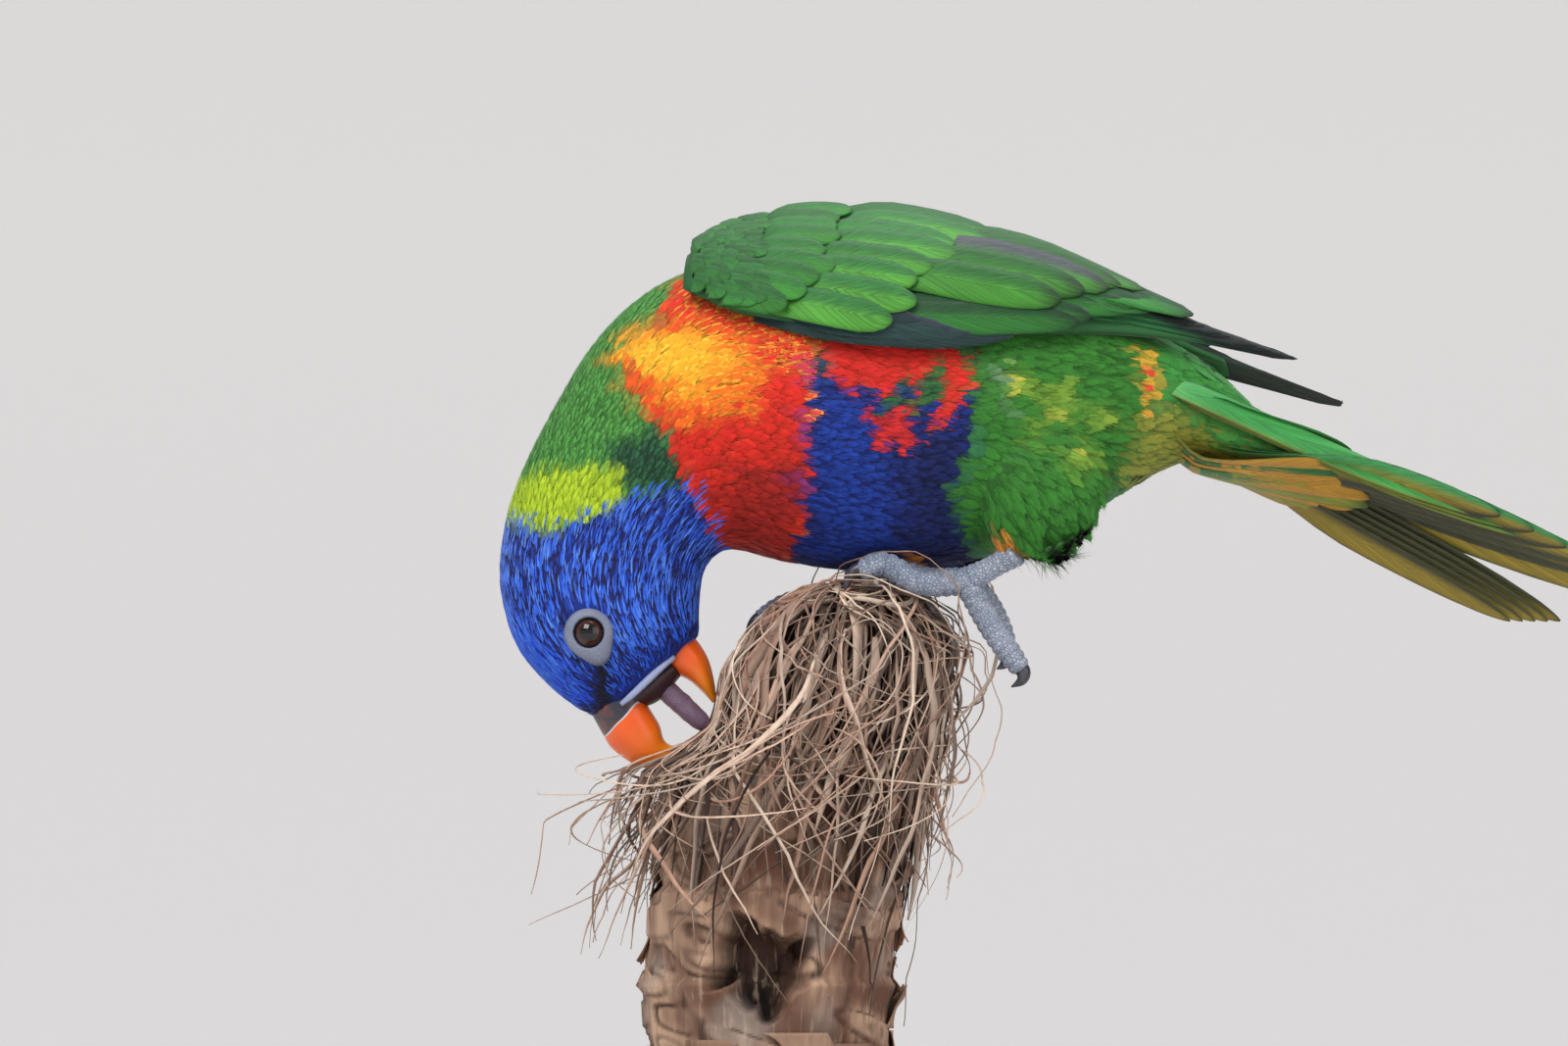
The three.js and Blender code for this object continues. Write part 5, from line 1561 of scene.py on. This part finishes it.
def buildStem():
    material = barkFinish()
    rows = np.array(stemRows, float)
    z = np.linspace(rows[0, 0], rows[-1, 0] + 4, stemSet["rings"])
    angle = around(stemSet["sides"])
    x = np.interp(z, rows[:, 0], rows[:, 1])[:, None]
    radius = np.interp(z, rows[:, 0], rows[:, 2])[:, None]
    zz, aa = np.meshgrid(z, angle, indexing="ij")
    flat = np.stack([np.cos(aa) * 28, np.sin(aa) * 28, zz], -1).reshape(-1, 3)
    plates = wobble(flat * (0.55, 0.55, 1.1) + 0.12 * flat[:, :1] * (0, 0, 1), 9, 31).reshape(zz.shape)
    fine = wobble(flat * (1, 1, 0.3), 2.2, 32).reshape(zz.shape)
    ledge = 0.7 * smooth(0.1, 0.16, plates) + 0.6 * smooth(0.6, 0.66, plates)
    aside = (aa - hollowPlace["angle"]) / hollowPlace["halfAngle"]
    above = (zz - hollowPlace["z"] - 3 * np.sin(aa * 9)) / hollowPlace["halfHeight"]
    hollow = np.hypot(aside, above) + 0.15 * wobble(flat, 4, 33).reshape(zz.shape)
    pit = 1 - smooth(0.75, 1, hollow)
    radius = radius - 0.8 + ledge + 0.25 * fine + 0.4 * plates - hollowPlace["depth"] * pit
    points = np.stack([x + radius * np.cos(aa), radius * np.sin(aa), zz], -1).reshape(-1, 3)
    quads, caps = tubeFaces(len(z), len(angle))
    share = smooth(-0.9, 0.9, plates + fine * 0.3).ravel()[:, None]
    colour = lerp(tone(112, 78, 62), tone(206, 172, 146), share)
    patchy = smooth(0.1, 0.9, wobble(flat, 16, 35))[:, None]
    colour = lerp(colour, tone(146, 136, 128), patchy * 0.7)
    crack = np.maximum(smooth(0.16, 0, np.abs(plates - 0.06)), 0.6 * smooth(0.16, 0, np.abs(plates - 0.56)))
    crack = crack * smooth(-0.5, 0.3, fine)
    colour = lerp(colour, tone(46, 28, 22), crack.ravel()[:, None] * 0.9)
    dark = smooth(0.1, 0.8, wobble(flat * (1, 1, 0.35), 7, 36) + 0.8 * smooth(60, 74, flat[:, 2]))[:, None]
    colour = lerp(colour, tone(84, 54, 42), dark * 0.6)
    # The hollow's inside is painted nearly black: painted shade in the recess.
    colour = lerp(colour, tone(14, 9, 8), pit.ravel()[:, None])
    stem = addMesh("stemBarkPiece", points, [quads, caps], material, colours={"core": colour})
    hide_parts("perch_stem")
    return material


def buildFlakes(material):  # loose edges of bark that curl away from the stem
    rng = np.random.default_rng(14)
    rows = np.array(stemRows, float)
    rowsIn = flakeSet["rows"]
    points, faces, colours, start = [], [], [], 0
    for _ in range(flakeSet["count"]):
        z0, mid = rng.uniform(36, 78), rng.uniform(0, 2 * math.pi)
        high, wide = rng.uniform(4, 9), rng.uniform(0.2, 0.5)
        curl, direction = rng.uniform(0.4, 2.6), rng.choice([-1, 1], p=[0.75, 0.25])
        if abs(mid - hollowPlace["angle"]) < 0.7 and 40 < z0 < 76:
            continue
        v, w = np.meshgrid(np.linspace(0, 1, rowsIn), np.linspace(-1, 1, rowsIn), indexing="ij")
        ragged = 1 + 0.28 * np.convolve(rng.normal(size=rowsIn + 2), (0.15, 0.7, 0.15), "valid")
        z = np.maximum(z0 + direction * v * high * ragged[None, :], flakeSet["lowest"] + 0.3 * v)
        a = mid + w * wide * (1 - 0.3 * v) + 0.1 * np.sin(v * 3)
        radius = np.interp(z, rows[:, 0], rows[:, 2]) + 0.2 + curl * v**2 + 0.4 * v * np.sin(w * 4 + mid)
        x = np.interp(z, rows[:, 0], rows[:, 1])
        out = np.stack([np.cos(a), np.sin(a), np.zeros_like(a)], -1)
        sheet = np.stack([x, np.zeros_like(x), z], -1) + out * radius[..., None]
        both = np.vstack([sheet.reshape(-1, 3), (sheet - out * flakeSet["thickness"]).reshape(-1, 3)])
        faces.append(sheetFaces(rowsIn, rowsIn) + start)
        points.append(both)
        start += len(both)
        colours.append(np.tile(lerp(tone(104, 70, 54), tone(206, 172, 148), rng.uniform()), (len(both), 1)))
    colours = {"core": np.vstack(colours)}
    flakes = addMesh("barkFlakes", np.vstack(points), np.vstack(faces), material, colours=colours)


crownProfile = np.array([  # radius and height of the crown's surface, from its middle out and down
    (0, 141.6), (6, 141), (12, 139.8), (18.5, 137), (23.5, 131.5), (26.5, 124), (27, 114), (27.2, 107),
    (27.8, 99), (28.8, 88), (29, 74), (29, 60), (29, 36),
])
profileRun = np.concatenate([[0], np.cumsum(np.hypot(*np.diff(crownProfile, axis=0).T))])


def crownPoint(run, angle, lift):  # run along the profile, angle round the stem, lift off the surface
    (r, z), (backR, backZ) = (
        [np.interp(at, profileRun, crownProfile[:, k]) for k in (0, 1)] for at in (run, run - 3)
    )
    slopeR, slopeZ = r - backR, z - backZ
    size = np.maximum(np.hypot(slopeR, slopeZ), 1e-6)
    outR, outZ = -slopeZ / size, slopeR / size
    r, z = r + outR * lift, z + outZ * np.where(run < 36, lift, 0)
    heights, middles = np.array([row[:2] for row in stemRows + crownMiddle]).T
    middle = np.interp(z, heights, middles)
    return np.stack([middle + r * np.cos(angle), r * np.sin(angle), z], -1)


crownCore = {"start": 0.5, "end": 62, "rings": 60, "sides": 160, "sink": 5, "sinkFrom": 50}


def buildCrownCore(material):  # the dark grooved dome under the strands
    runs = np.linspace(crownCore["start"], crownCore["end"], crownCore["rings"])
    run, angle = (g.ravel() for g in np.meshgrid(runs, around(crownCore["sides"]), indexing="ij"))
    flat = crownPoint(run, angle, np.zeros(run.size))
    grooves = wobble(flat * (1, 1, 0.25), 1.8, 41) * 0.7 + wobble(flat, 7, 42) * 1.3
    sunk = crownCore["sink"] * (1 - smooth(crownCore["sinkFrom"], crownCore["end"], run))
    points = crownPoint(run, angle, grooves - sunk - 0.8)
    quads, caps = tubeFaces(crownCore["rings"], crownCore["sides"])
    # The dome is painted nearly black and darkest in its grooves: painted shade under the strands.
    colour = lerp(tone(18, 11, 10), tone(62, 40, 34), smooth(-0.6, 1.8, grooves)[:, None])
    core = addMesh("crownCore", points, [quads[:, ::-1], caps[:, ::-1]], material, colours={"core": colour})
    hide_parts("perch_crown")


# Strands of the crown. from is where on the profile they start, turn and curl how far they wander,
# level the lift of the lowest and highest, and arch, spray and most how far they may stand off.
# light is how pale a kind's strands are, from the lowest lying to the highest: the darker end is painted
# shade deep in the crown.
fibreKinds = {
    "shreds": {
        "count": 100, "steps": 18, "half": (0.8, 1.9), "thick": 0.2, "length": (24, 66), "from": (6, 52),
        "turn": 0.25, "curl": 0.015, "level": (-3.2, 1), "arch": 1.2,
        "spray": 2, "most": 3, "light": (0, 0.75),
    },
    "ribbons": {
        "count": 330, "steps": 24, "half": (0.3, 0.85), "thick": 0.16, "length": (24, 72), "from": (2, 50),
        "turn": 0.38, "curl": 0.04, "level": (-3, 1.8), "arch": 2.2,
        "spray": 5, "most": 14, "light": (0, 1.0),
    },
    "threads": {
        "count": 300, "steps": 30, "half": (0.13, 0.28), "thick": 0.2, "length": (20, 70), "from": (2, 52),
        "turn": 0.6, "curl": 0.07, "level": (-1, 2.6), "arch": 3,
        "spray": 6, "most": 20, "light": (0.25, 1.1),
    },
    "strays": {
        "count": 80, "steps": 36, "half": (0.16, 0.32), "thick": 0.2, "length": (24, 56), "from": (44, 60),
        "turn": 0.9, "curl": 0.12, "level": (0, 2), "arch": 4,
        "spray": 15, "most": 30, "light": (0.7, 1.15),
    },
}


def buildFibres(name, kind, material, seed):
    rng = np.random.default_rng(seed)
    n, steps = kind["count"], kind["steps"]
    t = np.linspace(0, 1, steps + 1)[None, :]
    span = rng.uniform(*kind["length"], n) / steps
    run, angle = [rng.uniform(*kind["from"], n)], [rng.uniform(0, 2 * math.pi, n)]
    heading = rng.normal(0, kind["turn"], n)
    curl = rng.normal(0, kind["curl"], n)
    for _ in range(steps):
        run.append(np.maximum(run[-1] + span * np.cos(heading), 1))
        angle.append(angle[-1] + span * np.sin(heading) / np.clip(run[-1], 9, 27))
        hang = 0.07 * smooth(16, 40, run[-1]) * span
        heading = heading * (1 - hang) + (curl + rng.normal(0, 0.02, n)) * span
    run, angle = np.array(run).T, np.array(angle).T
    towardsHead = np.clip(-np.cos(angle), 0, 1)
    clear = 1 - smooth(0.2, 0.6, towardsHead) * (1 - smooth(52, 60, run))
    spray = rng.exponential(1, (n, 1)) * kind["spray"] * (0.35 + 1.2 * towardsHead**2)
    spray = np.minimum(spray, 12 + 26 * towardsHead**2)
    arch = rng.exponential(kind["arch"], (n, 1)) * np.sin(math.pi * t)
    ripple = rng.normal(0, 0.5, (n, 1)) * np.sin(t * rng.uniform(4, 16, (n, 1)) + rng.uniform(0, 6, (n, 1)))
    dent = 5 * smooth(0.75, 0.97, towardsHead) * smooth(12, 20, run) * smooth(54, 48, run)
    raised = spray * smooth(36, 56, run) * t**1.5 + arch + np.abs(ripple)
    outer = rng.uniform(0, 1, (n, 1))
    lift = lerp(*kind["level"], outer) + np.minimum(raised * clear, kind["most"]) - dent
    centre = crownPoint(run.ravel(), angle.ravel(), lift.ravel()).reshape(n, steps + 1, 3)
    along = unit(np.gradient(centre, axis=1))
    out = np.stack([np.cos(angle), np.sin(angle), np.full(angle.shape, 0.25)], -1)
    across = unit(np.cross(along, out))
    up = unit(np.cross(across, along))
    twist = (rng.normal(0, 0.5, (n, 1)) + rng.normal(0, 1.0, (n, 1)) * t)[..., None]
    across, up = rolled(across, up, twist)
    half = rng.uniform(*kind["half"], (n, 1)) * np.maximum(1 - t**4, 0.15) * np.minimum(1, 0.4 + 3 * t)
    corners = [(-1, -0.5), (1, -0.5), (1, 0.5), (-1, 0.5)]
    wide, high = half[..., None] * across, kind["thick"] * up
    rings = np.stack([centre + wide * w + high * h for w, h in corners], 2)
    size = (steps + 1) * 4
    quads, caps = tubeFaces(steps + 1, 4)
    offset = (np.arange(n) * size)[:, None, None]
    faces = [(g[None] + offset).reshape(-1, 4) for g in (quads, caps)]
    # Lower strands are painted darker: the fibres' own pale tones with painted shade on those lying deep.
    light = lerp(*kind["light"], np.clip(outer**1.7 * 0.9 + rng.uniform(-0.1, 0.2, (n, 1)), 0, 1))
    warm = rng.uniform(0, 1, (n, 1))
    colour = lerp(tone(28, 16, 15), lerp(tone(232, 212, 192), tone(190, 146, 124), warm), light)
    piece = addMesh(name, rings.reshape(-1, 3), faces, material, colours={"core": np.repeat(colour, size, 0)})
    print("  ", name, n)


print("stage: perch")
bark = buildStem()
buildFlakes(bark)
fibre = fibreFinish()
buildCrownCore(fibre)
for number, (name, kind) in enumerate(fibreKinds.items()):
    buildFibres(name, kind, fibre, 70 + number)


# Display stand

standSet = {"radius": 80, "thickness": 12, "edge": 2, "rod": 5}


def woodFinish():
    s = Shade("standWood")
    place = s.add("TexCoord", out="Object")
    sockets = {"Vector": place, "Scale": 60, "Distortion": 4, "Detail": 4, "Detail Scale": 2.0}
    rings = s.add("TexWave", {"wave_type": "RINGS", "rings_direction": "Y"}, sockets)
    pores = s.noise(900, 3, (0.08, 1, 1))
    colour = s.mix(rings, tone(74, 48, 32), tone(100, 67, 44))
    colour = s.mix(s.step(pores, 0.55, 0.7) * 0.5, colour, tone(44, 28, 20))
    return s.finish(
        Base_Color=colour, Roughness=pores * 0.15 + 0.32, Normal=s.bump(pores, 0.2, 0.0002),
        Coat_Weight=0.3, Coat_Roughness=0.25,
    )


def steelFinish():
    s = Shade("standSteel")
    lines = s.noise(900, 2, (1, 1, 0.05))
    return s.finish(
        Base_Color=(0.55, 0.55, 0.56), Metallic=1.0,
        Roughness=lines * 0.2 + 0.22, Normal=s.bump(lines, 0.15, 0.0001),
    )


def lathe(name, profile, sides, material):
    x, y, flat = np.cos(around(sides)), np.sin(around(sides)), np.ones(sides)
    rings = np.array([np.stack([r * x, r * y, z * flat], -1) for r, z in profile])
    points, faces = joinTubes([rings])
    return addMesh(name, points, faces, material)


def buildStand():
    r, t, e = standSet["radius"], standSet["thickness"], standSet["edge"]
    arc = np.linspace(0, math.pi / 2, 7)
    low = [(r - e + e * math.sin(a), e - e * math.cos(a)) for a in arc]
    high = [(r - e + e * math.cos(a), t - e + e * math.sin(a)) for a in arc]
    profile = [(2, 0), (r - e - 1, 0), *low, *high, (r - e - 1, t), (2, t)]
    board = lathe("standBoard", profile, 160, woodFinish())
    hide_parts("stand_base")
    rod = lathe("standPost", [(standSet["rod"], z) for z in (t - 0.2, 20, 33)], 48, steelFinish())
    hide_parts("stand_rod")


print("stage: stand")
buildStand()


# Floor, light and camera

view = {"aim": (3.4, 0, 157.1), "distance": 2020, "elevation": -3.3, "lens": 200}
studio = {"bend": 700, "reach": 5200, "height": 1400, "sides": 96}
lightAim = (30, 0, 150)
lights = {  # sizes in metres, powers in watts
    "key": {"at": (-500, -1100, 1300), "size": 0.9, "power": 21, "colour": (1, 0.98, 0.95)},
    "top": {"at": (200, 300, 1400), "size": 1.0, "power": 12, "colour": (0.96, 0.98, 1)},
    "fill": {"at": (1100, -900, 500), "size": 1.2, "power": 6, "colour": (1, 0.97, 0.95)},
}


def buildStudio():  # a round floor and wall, with room for a camera a few metres away
    pale = {"Base_Color": (0.72, 0.7, 0.69), "Roughness": 0.9}
    matt = Shade("paleFloor").finish(**pale)
    lit = Shade("paleWall").finish(**pale, Emission_Color=(1, 0.985, 0.975), Emission_Strength=0.34)
    arc = np.linspace(0, math.pi / 2, 17)[1:]
    bend, sides = studio["bend"], studio["sides"]
    turn = studio["reach"] - bend
    flat = [(40, 0), (400, 0), (1200, 0), (turn, 0)]
    rise = [(turn, 0)] + [(turn + bend * math.sin(a), bend - bend * math.cos(a)) for a in arc]
    rise.append((studio["reach"], studio["height"]))
    for name, line, material in (("studioFloor", flat, matt), ("studioWall", rise, lit)):
        points = np.array([(r * math.cos(a), r * math.sin(a), z) for r, z in line for a in around(sides)])
        quads, caps = tubeFaces(len(line), sides)
        faces = [quads, caps[:1]] if line is flat else quads
        addMesh(name, points, faces, material, ride=False)
    world = bpy.data.worlds.new("studio")
    world.use_nodes = True
    sky = world.node_tree.nodes["Background"].inputs
    sky[0].default_value = (0.93, 0.95, 1.0, 1)
    sky[1].default_value = 0.4
    scene.world = world
    for name, light in lights.items():
        data = bpy.data.lights.new(name, "AREA")
        data.size = light["size"]
        data.energy = light["power"]
        data.color = light["colour"]
        lamp = bpy.data.objects.new(name, data)
        lamp.location = Vector(light["at"]) * mm
        aim = Vector(lightAim) * mm - lamp.location
        lamp.rotation_euler = aim.to_track_quat("-Z", "Y").to_euler()
        scene.collection.objects.link(lamp)


def buildCamera():
    angle = math.radians(view["elevation"])
    forward = Vector((0, math.cos(angle), -math.sin(angle)))
    data = bpy.data.cameras.new("camera")
    data.lens = view["lens"]
    data.sensor_width = 36
    data.clip_end = 30
    camera = bpy.data.objects.new("camera", data)
    camera.location = Vector(view["aim"]) * mm - forward * view["distance"] * mm
    camera.rotation_euler = forward.to_track_quat("-Z", "Y").to_euler()
    scene.collection.objects.link(camera)
    scene.camera = camera


print("stage: studio")
buildStudio()
buildCamera()
scene.view_settings.view_transform = "Standard"
